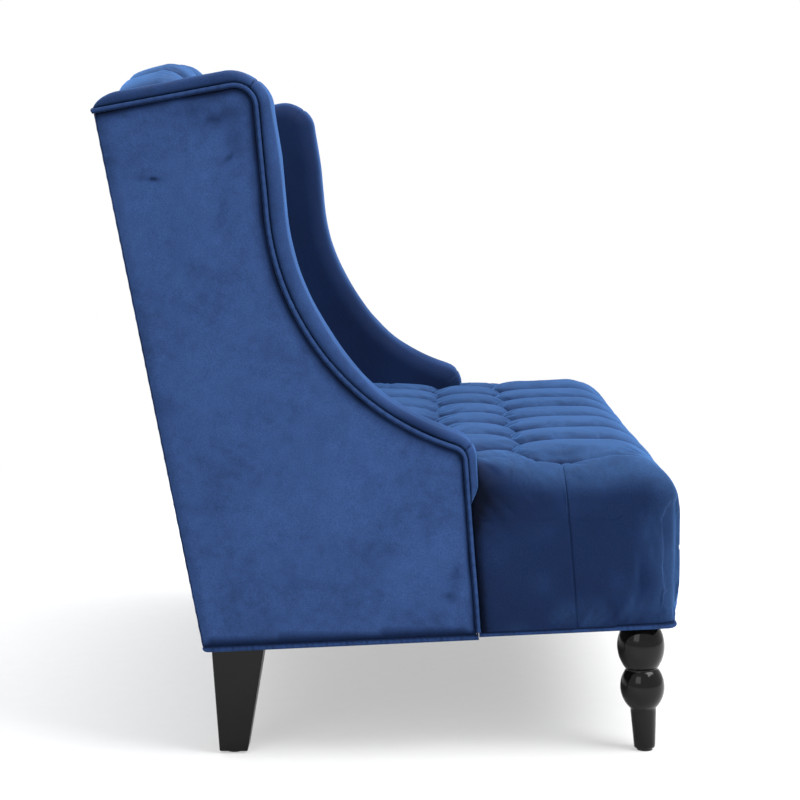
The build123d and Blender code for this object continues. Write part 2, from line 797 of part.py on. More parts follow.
def side_screw_holes(gap):
    """Drillings for those bolts, on the left side."""
    holes = []
    for y, z in side_screw_places():
        holes.append(Pos(frame_inner_x, y, z) * Rot(0, 90, 0) * Cylinder(screw_radius + gap, far / 8))
    return Compound(children=holes)


def make_frame_screws():
    """Bolts through the inner plywood sides and the pads into the seat's side rails."""
    screws = []
    head_x = frame_inner_x + side_frame_ply
    for side in (-1, 1):
        for y, z in side_screw_places():
            shank = Pos(side * (head_x - screw_length / 2), y, z) * Rot(0, 90, 0)
            head = Pos(side * (head_x + screw_head_height / 2), y, z) * Rot(0, 90, 0)
            screws.append(shank * Cylinder(screw_radius, screw_length)
                          + head * Cylinder(screw_head_radius, screw_head_height))
    return Compound(children=[s for piece in screws for s in piece.solids()])


def make_dust_cover():
    """Black cloth under the whole base, with holes for the leg bolts."""
    inner = overall_width / 2 - welt_height - soft_gap * 2 - welt_width / 2
    front_y = side_corners(0, 0, 0, 0, 0, -frame_bottom)[5][0]
    half_ear = ear_x - ear_wall - soft_gap
    middle = z_slab(-inner, inner, front_y, rear_y(base_z(back_foot_y), cover_thickness * 2 + welt_width / 2))
    wide = z_slab(-half_ear, half_ear, front_rail_y, front_y)
    return middle + wide - leg_holes()


def z_slab(x0, x1, y0, y1):
    """A sheet just under the frame, in the plane of the base."""
    slope = cos(radians(base_rake))
    place = Pos((x0 + x1) / 2, (y0 + y1) / 2 / slope, frame_bottom - dust_cover_thickness / 2)
    return base_plane * place * Box(x1 - x0, (y1 - y0) / slope, dust_cover_thickness)


# Base welts

def welt_ring(half_width, y0, y1):
    """Welt cord round three sides of a rectangle in the plane of the base."""
    slope = cos(radians(base_rake))
    length = (y1 - y0) / slope
    middle = (y0 + y1) / 2 / slope
    place = base_plane * Pos(0, middle, welt_width / 2)
    outer = Box(half_width * 2, length, welt_width)
    outer = fillet(outer.edges().filter_by(Axis.Z, reverse=True), welt_width / 2 - welt_crest_flat * 2)
    inner = Box((half_width - welt_width) * 2, length - welt_width * 2, welt_width * 2)
    return place * (outer - inner)


def make_body_welt():
    """Welt along the bottom of the outside panels and the outside back."""
    nose_y = side_corners(0, 0, 0, 0, 0, 0)[5][0]
    ring = welt_ring(overall_width / 2 - base_welt_inset, nose_y - welt_width * 2,
                     back_foot_y + base_welt_proud)
    return ring - Pos(0, nose_y - far / 2, 0) * Box(far, far, far)


def make_front_welt():
    """Welt along the bottom of the seat's wide front."""
    nose_y = side_corners(0, 0, 0, 0, 0, 0)[5][0] - soft_gap
    ring = welt_ring(ear_x + base_welt_inset, seat_front_y - base_welt_inset, nose_y + welt_width * 2)
    return ring - Pos(0, nose_y + far / 2, 0) * Box(far, far, far)


# Suspension

def make_seat_springs():
    """Sinuous springs from the front rail to the rear rail."""
    y0 = front_rail_y + rail_thickness / 2
    y1 = rear_rail_y + rail_thickness / 2
    bars = int((y1 - y0) / spring_pitch)
    pitch = (y1 - y0) / bars
    half = spring_width / 2
    points = []
    for i in range(bars + 1):
        side = 1 if i % 2 else -1
        points += [(-half * side, y0 + i * pitch), (half * side, y0 + i * pitch)]
    path = FilletPolyline(*points, radius=pitch * spring_bend_share)
    section = Plane(origin=path @ 0, z_dir=path % 0) * Circle(spring_wire / 2)
    spring = sweep(section, path=path)
    height = rail_top_z + clip_height / 2
    return Compound(children=[Pos(x, 0, height) * spring for x in spring_places()])


def spring_places():
    """Where the springs lie across the seat."""
    return [(i - (spring_count - 1) / 2) * spring_spacing for i in range(spring_count)]


def make_spring_clips():
    """Clips on the rails, each round the end bar of a spring."""
    y0 = front_rail_y + rail_thickness / 2
    y1 = rear_rail_y + rail_thickness / 2
    height = rail_top_z + clip_height / 2
    clip = Box(clip_width, clip_depth, clip_height)
    clip -= Rot(0, 90, 0) * Cylinder(spring_wire / 2 + fit_clearance, clip_width * 2)
    return Compound(children=[Pos(x, y, height) * clip for x in spring_places() for y in (y0, y1)])


def make_spring_ties():
    """Rods that lie across the springs and keep them apart."""
    height = rail_top_z + clip_height / 2 + spring_wire / 2 + tie_rod_diameter / 2 + fit_clearance
    length = (spring_count - 1) * spring_spacing + spring_width
    rod = Rot(0, 90, 0) * Cylinder(tie_rod_diameter / 2, length)
    reach = rear_rail_y - front_rail_y
    return Compound(children=[Pos(0, front_rail_y + reach * share, height) * rod
                              for share in (tie_rod_front_share, tie_rod_rear_share)])


# Legs

def leg_places():
    """The four leg bolts: x and y where they cross the base."""
    one_side = ((front_leg_x, front_leg_y), (rear_leg_x, rear_leg_y))
    return [(side * x, y) for side in (-1, 1) for x, y in one_side]


def leg_plane(x, y):
    """Plane of the base at a leg, with z up along the leg's bolt."""
    return Plane(origin=(x, y, base_z(y)), x_dir=(1, 0, 0), z_dir=base_plane.z_dir)


def leg_holes():
    """Holes for the bolts and nuts of the four legs, up from the dust cover."""
    holes = []
    for x, y in leg_places():
        plane = leg_plane(x, y)
        nut = Pos(0, 0, frame_bottom + nut_length / 2)
        holes.append(plane * Cylinder(bolt_radius + soft_gap, bolt_length * 2))
        holes.append(plane * nut * Cylinder(nut_radius + fit_clearance, nut_length))
        flange = Pos(0, 0, frame_bottom + nut_flange_height / 2)
        holes.append(plane * flange * Cylinder(nut_flange_radius + fit_clearance, nut_flange_height))
    return holes


def bolt_hole(plane):
    """Hole in the top of a leg for its bolt."""
    depth = bolt_in_leg + bolt_end_gap
    middle = frame_bottom - dust_cover_thickness - depth / 2
    return plane * Pos(0, 0, middle) * Cylinder(bolt_radius + fit_clearance, depth)


def nail_hole(x, y):
    """Hole in the foot of a leg for its glide's nail."""
    return Pos(x, y, glide_height + glide_nail_length / 2) * Cylinder(glide_nail_radius + fit_clearance,
                                                                      glide_nail_length)


def foot_y_of_front_leg():
    """Where the front leg's axis meets the top of its glide."""
    return front_leg_y - (base_z(front_leg_y) - glide_height) * base_plane.z_dir.Y / base_plane.z_dir.Z


def make_front_leg():
    """Turned front leg, square to the raked base, with its foot cut level."""
    top = frame_bottom - dust_cover_thickness
    foot = -base_z(front_leg_y) / cos(radians(base_rake)) - glide_height
    profile = [
        Line((0, top), (front_leg_top_radius, top)),
        Line((front_leg_top_radius, top), (front_leg_top_radius, 0)),
        ThreePointArc((front_leg_top_radius, 0), (front_ball_radius, -front_ball_drop),
                      (front_neck_radius, -front_neck_drop)),
        ThreePointArc((front_neck_radius, -front_neck_drop), (lower_ball_radius, -lower_ball_drop),
                      (front_taper_radius, -front_taper_drop)),
        Line((front_taper_radius, -front_taper_drop), (front_foot_radius, foot)),
        Line((front_foot_radius, foot), (0, foot)),
        Line((0, foot), (0, top)),
    ]
    plane = leg_plane(front_leg_x, front_leg_y)
    leg = plane * revolve(Plane.XZ * make_face(profile), Axis.Z)
    leg -= Pos(0, 0, glide_height - far / 2) * Box(far, far, far)
    return leg - bolt_hole(plane) - nail_hole(front_leg_x, foot_y_of_front_leg())


def make_rear_leg():
    """Square tapered rear leg, splayed back a little."""
    plane = leg_plane(rear_leg_x, rear_leg_y)
    top = plane * Pos(0, 0, frame_bottom - dust_cover_thickness) * Rectangle(rear_leg_top, rear_leg_top)
    foot = Pos(rear_leg_x, rear_foot_y, glide_height) * Rectangle(rear_leg_foot, rear_leg_foot)
    leg = loft([foot, top], ruled=True)
    return leg - bolt_hole(plane) - nail_hole(rear_leg_x, rear_foot_y)


def make_leg_bolts():
    """Threaded studs that join the legs to the nuts in the frame."""
    middle = frame_bottom - dust_cover_thickness - bolt_in_leg + bolt_length / 2
    return Compound(children=[leg_plane(x, y) * Pos(0, 0, middle) * Cylinder(bolt_radius, bolt_length)
                              for x, y in leg_places()])


def make_leg_nuts():
    """Flanged nuts let into the frame above the legs."""
    nuts = []
    for x, y in leg_places():
        place = leg_plane(x, y) * Pos(0, 0, frame_bottom)
        nut = Pos(0, 0, nut_length / 2) * Cylinder(nut_radius, nut_length)
        nut += Pos(0, 0, nut_flange_height / 2) * Cylinder(nut_flange_radius, nut_flange_height)
        nut -= Cylinder(bolt_radius + fit_clearance, nut_length * 4)
        nuts += (place * nut).solids()
    return Compound(children=nuts)


def make_foot_glides():
    """Nail-on glides under the four feet."""
    glides = []
    for side in (-1, 1):
        for x, y in ((front_leg_x, foot_y_of_front_leg()), (rear_leg_x, rear_foot_y)):
            disc = Pos(side * x, y, glide_height / 2) * Cylinder(glide_radius, glide_height)
            nail_length = glide_nail_length - nail_end_gap
            nail = Pos(side * x, y, glide_height + nail_length / 2)
            glides.append(disc + nail * Cylinder(glide_nail_radius, nail_length))
    return Compound(children=[s for g in glides for s in g.solids()])


def make_pieces():
    """Every piece of the settee by name."""
    outer_frame = make_side_frame(outer_ply_x, panel_inner_x)
    inner_frame = make_side_frame(frame_inner_x, frame_inner_x + side_frame_ply)
    inner_frame -= side_screw_holes(fit_clearance)
    side_pad = make_side_pad() - side_screw_holes(fit_clearance)
    pairs = {
        "side_frame_outer": outer_frame,
        "side_frame_inner": inner_frame,
        "side_spacers": make_side_spacers(),
        "arm_base_rail": make_arm_base_rail(),
        "seat_side_rail": make_seat_side_rail(),
        "ear_rail": make_ear_rail(),
        "ear_back": make_ear_back(),
        "front_leg_block": make_front_leg_block(),
        "side_pad": side_pad,
        "outside_panel": make_outside_panel(),
        "side_welt": make_side_welt(),
        "front_leg": make_front_leg(),
        "rear_leg": make_rear_leg(),
    }
    pieces = {
        "front_rail": make_front_rail(),
        "rear_rail": make_rear_rail(),
        "seat_stretchers": make_seat_stretchers(),
        "corner_blocks": make_corner_blocks(),
        "frame_screws": make_frame_screws(),
        "back_posts": make_back_posts(),
        "back_top_rail": make_back_top_rail(),
        "lumbar_rail": make_lumbar_rail(),
        "back_webbing": make_back_webbing(),
        "back_foam": make_back_foam(),
        "back_cover": make_back_cover(),
        "outside_back": make_outside_back(),
        "back_welt": make_back_welt(),
        "seat_springs": make_seat_springs(),
        "spring_clips": make_spring_clips(),
        "spring_ties": make_spring_ties(),
        "seat_insulator": make_seat_insulator(),
        "seat_foam": make_seat_foam(),
        "seat_ties": make_seat_ties(),
        "seat_cover": make_seat_cover(),
        "body_welt": make_body_welt(),
        "front_welt": make_front_welt(),
        "dust_cover": make_dust_cover(),
        "leg_bolts": make_leg_bolts(),
        "leg_nuts": make_leg_nuts(),
        "foot_glides": make_foot_glides(),
    }
    for name, piece in pairs.items():
        pieces[name + "_left"] = piece
        pieces[name + "_right"] = both_sides(piece)
    return pieces


# The origin is on the floor, under the middle of the whole settee.
os.makedirs("parts", exist_ok=True)
settee = make_pieces()
boxes = [piece.bounding_box() for piece in settee.values()]
low_y, high_y = min(b.min.Y for b in boxes), max(b.max.Y for b in boxes)
to_origin = Pos(0, -(low_y + high_y) / 2, 0)
for name, piece in settee.items():
    export_step(to_origin * piece, f"parts/{name}.step")
print("moved", to_origin.position.Y, "depth", high_y - low_y, "height", max(b.max.Z for b in boxes))
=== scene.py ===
from math import atan, atan2, cos, pi, radians, sin, tan

import bmesh
import bpy
import numpy as np
from mathutils import Matrix, Vector
from mathutils.geometry import delaunay_2d_cdt
from mathutils.kdtree import KDTree


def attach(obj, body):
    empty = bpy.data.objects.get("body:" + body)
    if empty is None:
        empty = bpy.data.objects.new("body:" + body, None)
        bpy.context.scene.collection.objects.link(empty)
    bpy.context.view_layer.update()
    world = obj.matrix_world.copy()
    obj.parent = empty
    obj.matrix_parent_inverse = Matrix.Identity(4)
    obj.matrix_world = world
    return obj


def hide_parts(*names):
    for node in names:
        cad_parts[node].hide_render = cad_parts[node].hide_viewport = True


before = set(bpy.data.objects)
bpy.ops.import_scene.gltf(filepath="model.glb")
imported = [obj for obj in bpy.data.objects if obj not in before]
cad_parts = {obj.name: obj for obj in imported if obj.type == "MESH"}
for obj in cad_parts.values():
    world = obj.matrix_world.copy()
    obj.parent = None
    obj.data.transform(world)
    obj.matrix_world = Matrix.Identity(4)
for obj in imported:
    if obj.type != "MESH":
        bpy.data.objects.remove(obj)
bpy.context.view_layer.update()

# High back settee. Points are worked out in millimetres as on the settee's drawing (x across, y from front
# to back, z up) and turned into the frame's metres when a mesh is made.
drawingShift = np.array([0.0, -5.381, 0.0])  # the frame's middle lies this far along y on the drawing
millimetre = 0.001
farAway = 1e9

print("settee: frame loaded")


# small helpers

def smoothStep(low, high, value):
    t = np.clip((value - low) / (high - low), 0.0, 1.0)
    return t * t * (3 - 2 * t)


def blend(first, second, share):
    return first + (second - first) * share


def bell(value, width, power=2):
    return np.exp(-np.abs(value / width) ** power)


def unit(vector):
    return vector / np.linalg.norm(vector)


def turned(vector, angle):
    return np.array([vector[0] * cos(angle) - vector[1] * sin(angle),
                     vector[0] * sin(angle) + vector[1] * cos(angle)])


def valueNoise(points, size, seed):
    cells = 32                                  # the noise repeats after so many cells
    table = np.random.default_rng(seed).uniform(-1, 1, (cells, cells, cells))
    p = np.asarray(points, float) / size
    cell = np.floor(p).astype(int)
    f = smoothStep(0, 1, p - cell)
    total = 0.0
    for corner in np.ndindex(2, 2, 2):
        i, j, k = np.moveaxis((cell + corner) % cells, -1, 0)
        total = total + np.prod(np.where(corner, f, 1 - f), axis=-1) * table[i, j, k]
    return total


def toFrame(points):
    return (np.asarray(points, float) + drawingShift) * millimetre


def addPiece(name, data):
    piece = bpy.data.objects.new(name, data)
    bpy.context.scene.collection.objects.link(piece)
    return piece


def smoothFaces(piece):
    piece.data.polygons.foreach_set("use_smooth", [True] * len(piece.data.polygons))


def fixNormals(piece):
    shape = bmesh.new()
    shape.from_mesh(piece.data)
    bmesh.ops.remove_doubles(shape, verts=shape.verts, dist=2e-5)
    bmesh.ops.delete(shape, geom=[v for v in shape.verts if not v.link_faces], context="VERTS")
    bmesh.ops.recalc_face_normals(shape, faces=shape.faces)
    shape.to_mesh(piece.data)
    shape.free()
    smoothFaces(piece)
    piece.data.update()


# the attribute darkens the velvet where its pile lies down, and as painted shade in seams, pits, grooves and recesses
def writeNapAndShade(mesh, nap):
    layer = mesh.attributes.new("nap", "FLOAT", "POINT")
    layer.data.foreach_set("value", np.asarray(nap, np.float32))


def declare(piece):
    # the node that a piece stands for has its name in small letters, as in side_pad_left for sidePadLeft
    node = "".join("_" + c.lower() if c.isupper() else c for c in piece.name)
    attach(piece, "root")
    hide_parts(node)
    return piece


def newPiece(name, points, faces, material, nap=None):
    mesh = bpy.data.meshes.new(name)
    mesh.from_pydata(toFrame(points).tolist(), [], [tuple(f) for f in faces])
    mesh.validate()
    if nap is not None:
        writeNapAndShade(mesh, nap)
    mesh.materials.append(material)
    piece = addPiece(name, mesh)
    fixNormals(piece)
    return declare(piece)


def sided(stem, side):
    return stem + ("Left" if side > 0 else "Right")


def mirrored(points, faces):
    return np.asarray(points, float) * (-1, 1, 1), [tuple(reversed(f)) for f in faces]


def closeShell(outer, inner, faces):
    count = len(outer)
    edges = {(a, b) for f in faces for a, b in zip(f, f[1:] + f[:1])}
    closed = [tuple(f) for f in faces]
    closed += [tuple(i + count for i in reversed(f)) for f in faces]
    closed += [(b, a, a + count, b + count) for a, b in sorted(edges) if (b, a) not in edges]
    return np.vstack([outer, inner]), closed


def distanceTo(spots, line):
    nearest = np.full(len(spots), farAway)
    for p, q in zip(line[:-1], line[1:]):
        along = q - p
        share = np.clip(((spots - p) @ along) / max(along @ along, 1e-9), 0, 1)
        nearest = np.minimum(nearest, np.linalg.norm(spots - (p + share[:, None] * along), axis=1))
    return nearest


def nearestPoint(spots, points):
    nearest = np.full(len(spots), farAway)
    for p in points:
        nearest = np.minimum(nearest, np.linalg.norm(spots - p, axis=1))
    return nearest


def fillOutline(outline, spacing, inset, rings=()):
    ring = np.asarray(outline, float)
    low, high = ring.min(0), ring.max(0)
    a, b = np.meshgrid(*(np.arange(low[i] + spacing / 2, high[i], spacing) for i in (0, 1)))
    a[1::2] += spacing / 2
    spots = np.stack([a.ravel(), b.ravel()], 1)
    inside = np.zeros(len(spots), bool)
    for p, q in zip(ring, np.roll(ring, -1, 0)):
        if p[1] != q[1]:
            crosses = (p[1] > spots[:, 1]) != (q[1] > spots[:, 1])
            where = p[0] + (spots[:, 1] - p[1]) / (q[1] - p[1]) * (q[0] - p[0])
            inside ^= crosses & (spots[:, 0] < where)
    spots = spots[inside & (distanceTo(spots, np.vstack([ring, ring[:1]])) > inset)]
    if len(rings):
        spots = np.vstack([spots, rings])
    border = [(i, (i + 1) % len(ring)) for i in range(len(ring))]
    everything = [Vector(p) for p in np.vstack([ring, spots])]
    found, _, faces, origin, _, _ = delaunay_2d_cdt(everything, border, [], 1, 1e-5)
    return np.array([tuple(p) for p in found]), [tuple(f) for f in faces], origin


def evaluatedMesh(carrier):
    graph = bpy.context.evaluated_depsgraph_get()
    graph.update()
    return bpy.data.meshes.new_from_object(carrier.evaluated_get(graph))


# materials

def plug(tree, node, inputs):
    for key, value in inputs.items():
        socket = node.inputs[key]
        if isinstance(value, bpy.types.NodeSocket):
            tree.links.new(value, socket)
        elif socket.type == "RGBA":
            socket.default_value = (*value, 1)
        else:
            socket.default_value = value
    return node


def addNode(tree, kind, inputs=None, **settings):
    node = tree.nodes.new(kind)
    for key, value in settings.items():
        setattr(node, key, value)
    return plug(tree, node, inputs or {})


def nodeMaterial(name):
    material = bpy.data.materials.new(name)
    material.use_nodes = True
    tree = material.node_tree
    tree.nodes.clear()
    shader = addNode(tree, "ShaderNodeBsdfPrincipled")
    addNode(tree, "ShaderNodeOutputMaterial", {"Surface": shader.outputs[0]})
    return material, tree, shader, addNode(tree, "ShaderNodeTexCoord").outputs["Object"]


def noiseNode(tree, where, scale, detail=3.0, roughness=0.5, distortion=0.0):
    return addNode(tree, "ShaderNodeTexNoise", {"Vector": where, "Scale": scale, "Detail": detail,
                                                "Roughness": roughness, "Distortion": distortion}).outputs["Fac"]


def rampNode(tree, value, *stops):
    node = addNode(tree, "ShaderNodeValToRGB", {"Fac": value})
    ramp = node.color_ramp
    while len(ramp.elements) < len(stops):
        ramp.elements.new(0.5)
    for element, (place, shade) in zip(ramp.elements, stops):
        element.position = place
        element.color = (*shade, 1) if isinstance(shade, (tuple, list)) else (shade, shade, shade, 1)
    return node.outputs["Color"]


def mixNode(tree, factor, first, second, blendType="MIX"):
    return addNode(tree, "ShaderNodeMix", {0: factor, 6: first, 7: second},
                   data_type="RGBA", blend_type=blendType).outputs[2]


def multiplyNode(tree, first, second):
    return mixNode(tree, 1.0, first, second, "MULTIPLY")


def mathNode(tree, operation, first, second):
    return addNode(tree, "ShaderNodeMath", {0: first, 1: second}, operation=operation).outputs[0]


def bumpNode(tree, shader, height, strength, distance, before=None):
    inputs = {"Height": height, "Strength": strength, "Distance": distance}
    if before is not None:
        inputs["Normal"] = before
    normal = addNode(tree, "ShaderNodeBump", inputs).outputs["Normal"]
    plug(tree, shader, {"Normal": normal})
    return normal


def shaded(colour, factor):
    return [c * factor for c in colour]


panelShade = {
    "deep": (0.0008, 0.0022, 0.0085),    # painted shade in seams and pits
    "dark": (0.0052, 0.0142, 0.0495),    # pile brushed down, and painted shade
    "middle": (0.0235, 0.0535, 0.154),
    "light": (0.0285, 0.0635, 0.178),    # pile brushed up
    "patchScale": 7.0,                   # hand-sized shaded patches
    "fleckScale": 60.0, "grainScale": 560.0, "fibreScale": 1100.0,
    "sheen": 0.2, "sheenTint": (0.14, 0.4, 1.0),
}
# the seat's, pads' and welts' velvets are lit and shaded copies of the panels': the seat's is painted lighter, the
# pads' and welts' darker
seatShade = dict(panelShade, middle=(0.0255, 0.066, 0.168), light=(0.036, 0.088, 0.213), sheen=0.55)
padShade = dict(panelShade, middle=(0.0162, 0.0392, 0.117), light=(0.0212, 0.05, 0.142), sheen=0.5)
weltShade = dict(panelShade, middle=(0.0165, 0.04, 0.12), light=(0.0215, 0.05, 0.142), sheen=0.5)


def makeVelvet(name, look):
    material, tree, shader, where = nodeMaterial(name)
    patches = noiseNode(tree, where, look["patchScale"], 4.0, 0.6, 0.5)
    flecks = noiseNode(tree, where, look["fleckScale"], 3.0, 0.6, 0.3)
    grain = noiseNode(tree, where, look["grainScale"], 2.0, 0.7)
    fibres = noiseNode(tree, where, look["fibreScale"], 2.0, 0.7)
    blotch = mixNode(tree, 0.4, patches, flecks)
    bright = rampNode(tree, blotch, (0.34, shaded(look["middle"], 0.74)), (0.48, look["middle"]),
                      (0.66, look["light"]))
    speckle = multiplyNode(tree, rampNode(tree, grain, (0.33, 0.84), (0.67, 1.15)),
                           rampNode(tree, fibres, (0.3, 0.9), (0.7, 1.08)))
    dark = mixNode(tree, blotch, shaded(look["dark"], 0.75), shaded(look["dark"], 1.45))
    # the stored value is 0 where the pile is brushed up, 1 where it lies dark or is painted with shade, and 2 in seams,
    # pits and grooves, where deep shadow is painted
    nap = addNode(tree, "ShaderNodeAttribute", attribute_name="nap").outputs["Fac"]
    darkShare = mathNode(tree, "MINIMUM", nap, 1.0)
    shadowShare = mathNode(tree, "SUBTRACT", nap, darkShare)
    colour = mixNode(tree, darkShare, multiplyNode(tree, bright, speckle), multiplyNode(tree, dark, speckle))
    plug(tree, shader, {
        "Base Color": mixNode(tree, shadowShare, colour, look["deep"]),
        "Roughness": rampNode(tree, flecks, (0.3, 0.74), (0.7, 0.92)),
        "Sheen Weight": look["sheen"], "Sheen Roughness": 0.3, "Sheen Tint": look["sheenTint"],
        "Specular IOR Level": 0.07,
    })
    soft = bumpNode(tree, shader, flecks, 0.1, 0.002)
    bumpNode(tree, shader, grain, 0.3, 0.001, soft)
    return material


lacquerLook = {"black": (0.0022, 0.0022, 0.0024), "worn": (0.0052, 0.005, 0.005), "smudgeScale": 26.0,
               "grainScale": 234.0, "grainStretch": (1.0, 1.0, 0.09)}


def makeLacquer(name, look):
    material, tree, shader, where = nodeMaterial(name)
    stretched = addNode(tree, "ShaderNodeMapping", {"Vector": where, "Scale": look["grainStretch"]}).outputs[0]
    grain = noiseNode(tree, stretched, look["grainScale"], 5.0, 0.6, 0.2)
    smudge = noiseNode(tree, where, look["smudgeScale"], 3.0, 0.55)
    plug(tree, shader, {"Base Color": mixNode(tree, smudge, look["black"], look["worn"]),
                        "Roughness": rampNode(tree, smudge, (0.3, 0.06), (0.72, 0.14)),
                        "Specular IOR Level": 0.18})
    bumpNode(tree, shader, grain, 0.16, 0.0008)
    return material


def makeWood(name, pale, dark, ringScale, along):
    material, tree, shader, where = nodeMaterial(name)
    stretched = addNode(tree, "ShaderNodeMapping", {"Vector": where, "Scale": along}).outputs[0]
    figure = noiseNode(tree, stretched, ringScale, 6.0, 0.62, 1.4)
    pores = noiseNode(tree, stretched, ringScale * 14, 3.0, 0.6)
    between = [(a + b) / 2 for a, b in zip(dark, pale)]
    colour = rampNode(tree, figure, (0.3, dark), (0.5, between), (0.66, pale))
    speck = rampNode(tree, pores, (0.35, 0.8), (0.6, 1.05))
    plug(tree, shader, {"Base Color": multiplyNode(tree, colour, speck),
                        "Roughness": rampNode(tree, pores, (0.3, 0.85), (0.7, 0.62))})
    bumpNode(tree, shader, figure, 0.25, 0.0008)
    return material


def makeMetal(name, bright, dull, roughness, scale):
    material, tree, shader, where = nodeMaterial(name)
    marks = noiseNode(tree, where, scale, 4.0, 0.6, 0.4)
    plug(tree, shader, {"Base Color": rampNode(tree, marks, (0.35, dull), (0.6, bright)),
                        "Roughness": rampNode(tree, marks, (0.3, roughness + 0.14), (0.7, roughness)),
                        "Metallic": 1.0})
    bumpNode(tree, shader, marks, 0.08, 0.0003)
    return material


def makeCloth(name, light, dark, thread, roughness=0.9):
    material, tree, shader, where = nodeMaterial(name)
    waves = [addNode(tree, "ShaderNodeTexWave", {"Vector": where, "Scale": 1.0 / (thread * 20),
                                                 "Distortion": 0.8, "Detail": 1.0},
                     bands_direction=axis).outputs["Fac"] for axis in ("X", "Y")]
    fluff = noiseNode(tree, where, 160.0, 4.0, 0.65)
    pattern = mixNode(tree, 0.5, mathNode(tree, "MULTIPLY", *waves), fluff)
    rough = rampNode(tree, fluff, (0.3, roughness - 0.08), (0.7, min(roughness + 0.06, 1.0)))
    plug(tree, shader, {"Base Color": rampNode(tree, pattern, (0.2, dark), (0.7, light)), "Roughness": rough,
                        "Specular IOR Level": 0.2, "Sheen Weight": 0.1})
    bumpNode(tree, shader, pattern, 0.3, 0.0006)
    return material


panelVelvet = makeVelvet("panelVelvet", panelShade)
padVelvet = makeVelvet("padVelvet", padShade)
seatVelvet = makeVelvet("seatVelvet", seatShade)
weltVelvet = makeVelvet("weltVelvet", weltShade)
blackLacquer = makeLacquer("blackLacquer", lacquerLook)
framePine = makeWood("framePine", (0.62, 0.44, 0.25), (0.4, 0.24, 0.115), 5.0, (0.15, 1.0, 1.0))
framePly = makeWood("framePly", (0.6, 0.45, 0.27), (0.43, 0.29, 0.155), 4.0, (1.0, 0.14, 1.0))
postWood = makeWood("postWood", (0.58, 0.41, 0.23), (0.36, 0.22, 0.11), 6.0, (1.0, 1.0, 0.12))
springWire = makeMetal("springWire", (0.34, 0.34, 0.35), (0.2, 0.2, 0.21), 0.34, 240.0)
platedSteel = makeMetal("platedSteel", (0.66, 0.62, 0.5), (0.45, 0.43, 0.38), 0.3, 180.0)
foamFill = makeCloth("foamFill", (0.72, 0.66, 0.48), (0.5, 0.44, 0.3), 0.004)
feltFill = makeCloth("feltFill", (0.3, 0.3, 0.3), (0.14, 0.14, 0.15), 0.003)
webCloth = makeCloth("webCloth", (0.035, 0.035, 0.038), (0.012, 0.012, 0.013), 0.0022, 0.8)
dustCloth = makeCloth("dustCloth", (0.022, 0.022, 0.023), (0.008, 0.008, 0.008), 0.0016)
glidePlastic = makeCloth("glidePlastic", (0.03, 0.03, 0.03), (0.018, 0.018, 0.018), 0.005, 0.5)

print("settee: materials made")


# the side outline of wing and arm

sideOutline = {
    "baseHeight": 165, "baseRake": 2.8, "backFoot": 259, "recline": 10.8,
    "wingTop": (182, 944), "topSlope": 10.4, "wingLean": 5, "armNose": (-106, 438),
    "armSlope": 18.1, "armLean": 4.55, "wingRound": 30, "sweepRound": 371, "noseRound": 20,
}
baseRake = radians(sideOutline["baseRake"])
recline = radians(sideOutline["recline"])
# steps between stations: close to a corner, near it, elsewhere and along the rear end
stationSteps = {"close": (7, 0.9), "near": (30, 2.4), "plain": 5.5, "rear": (44, 2.2)}


def baseZ(y, up=0.0):
    return sideOutline["baseHeight"] + up / cos(baseRake) - y * tan(baseRake)


def armFrontY(z):
    noseY, noseZ = sideOutline["armNose"]
    return noseY - (noseZ - z) * tan(radians(sideOutline["armLean"]))


def outlineLines(offsets):
    o = sideOutline
    starts = [((o["backFoot"], baseZ(o["backFoot"])), 90 - o["recline"]), (o["wingTop"], 180 - o["topSlope"]),
              (o["wingTop"], 270 - o["wingLean"]), (o["armNose"], 180 + o["armSlope"]),
              (o["armNose"], 270 - o["armLean"]), ((0, o["baseHeight"]), -o["baseRake"])]
    lines = []
    for (place, angle), offset in zip(starts, offsets):
        along = np.array([cos(radians(angle)), sin(radians(angle))])
        lines.append((np.array(place, float) + np.array([along[1], -along[0]]) * offset, along))
    return lines


def outlineCorner(first, second):
    (a, u), (b, v) = first, second
    return a + u * ((b[0] - a[0]) * v[1] - (b[1] - a[1]) * v[0]) / (u[0] * v[1] - u[1] * v[0])


def outlineStations(step):
    lines = outlineLines([0] * 6)
    corners = [outlineCorner(lines[i - 1], lines[i]) for i in range(6)]
    path = corners[:0:-1]          # from the front of the base up to the top rear corner
    rounds = [0, sideOutline["noseRound"], sideOutline["sweepRound"], sideOutline["wingRound"]]
    points, normals, here = [], [], path[0]
    for i in range(1, len(path)):
        corner = path[i]
        along = unit(corner - path[i - 1])
        outward = np.array([-along[1], along[0]])
        last = i == len(path) - 1
        turn = cut = 0.0
        if not last:
            after = unit(path[i + 1] - corner)
            turn = atan2(along[0] * after[1] - along[1] * after[0], along @ after)
            cut = rounds[i] * tan(abs(turn) / 2)
        end = corner - along * cut
        count = max(int(np.linalg.norm(end - here) / step), 1)
        for k in range(count + last):
            points.append(blend(here, end, k / count))
            normals.append(outward)
        if last:
            break
        centre = end + outward * rounds[i] * np.sign(turn)
        arcStep = step if rounds[i] > 100 else step / 2
        count = max(int(rounds[i] * abs(turn) / arcStep), 5)
        for angle in np.arange(count) * turn / count:
            points.append(centre + turned(end - centre, angle))
            normals.append(turned(outward, angle))
        here = corner + after * cut
    return np.array(points), np.array(normals), corners


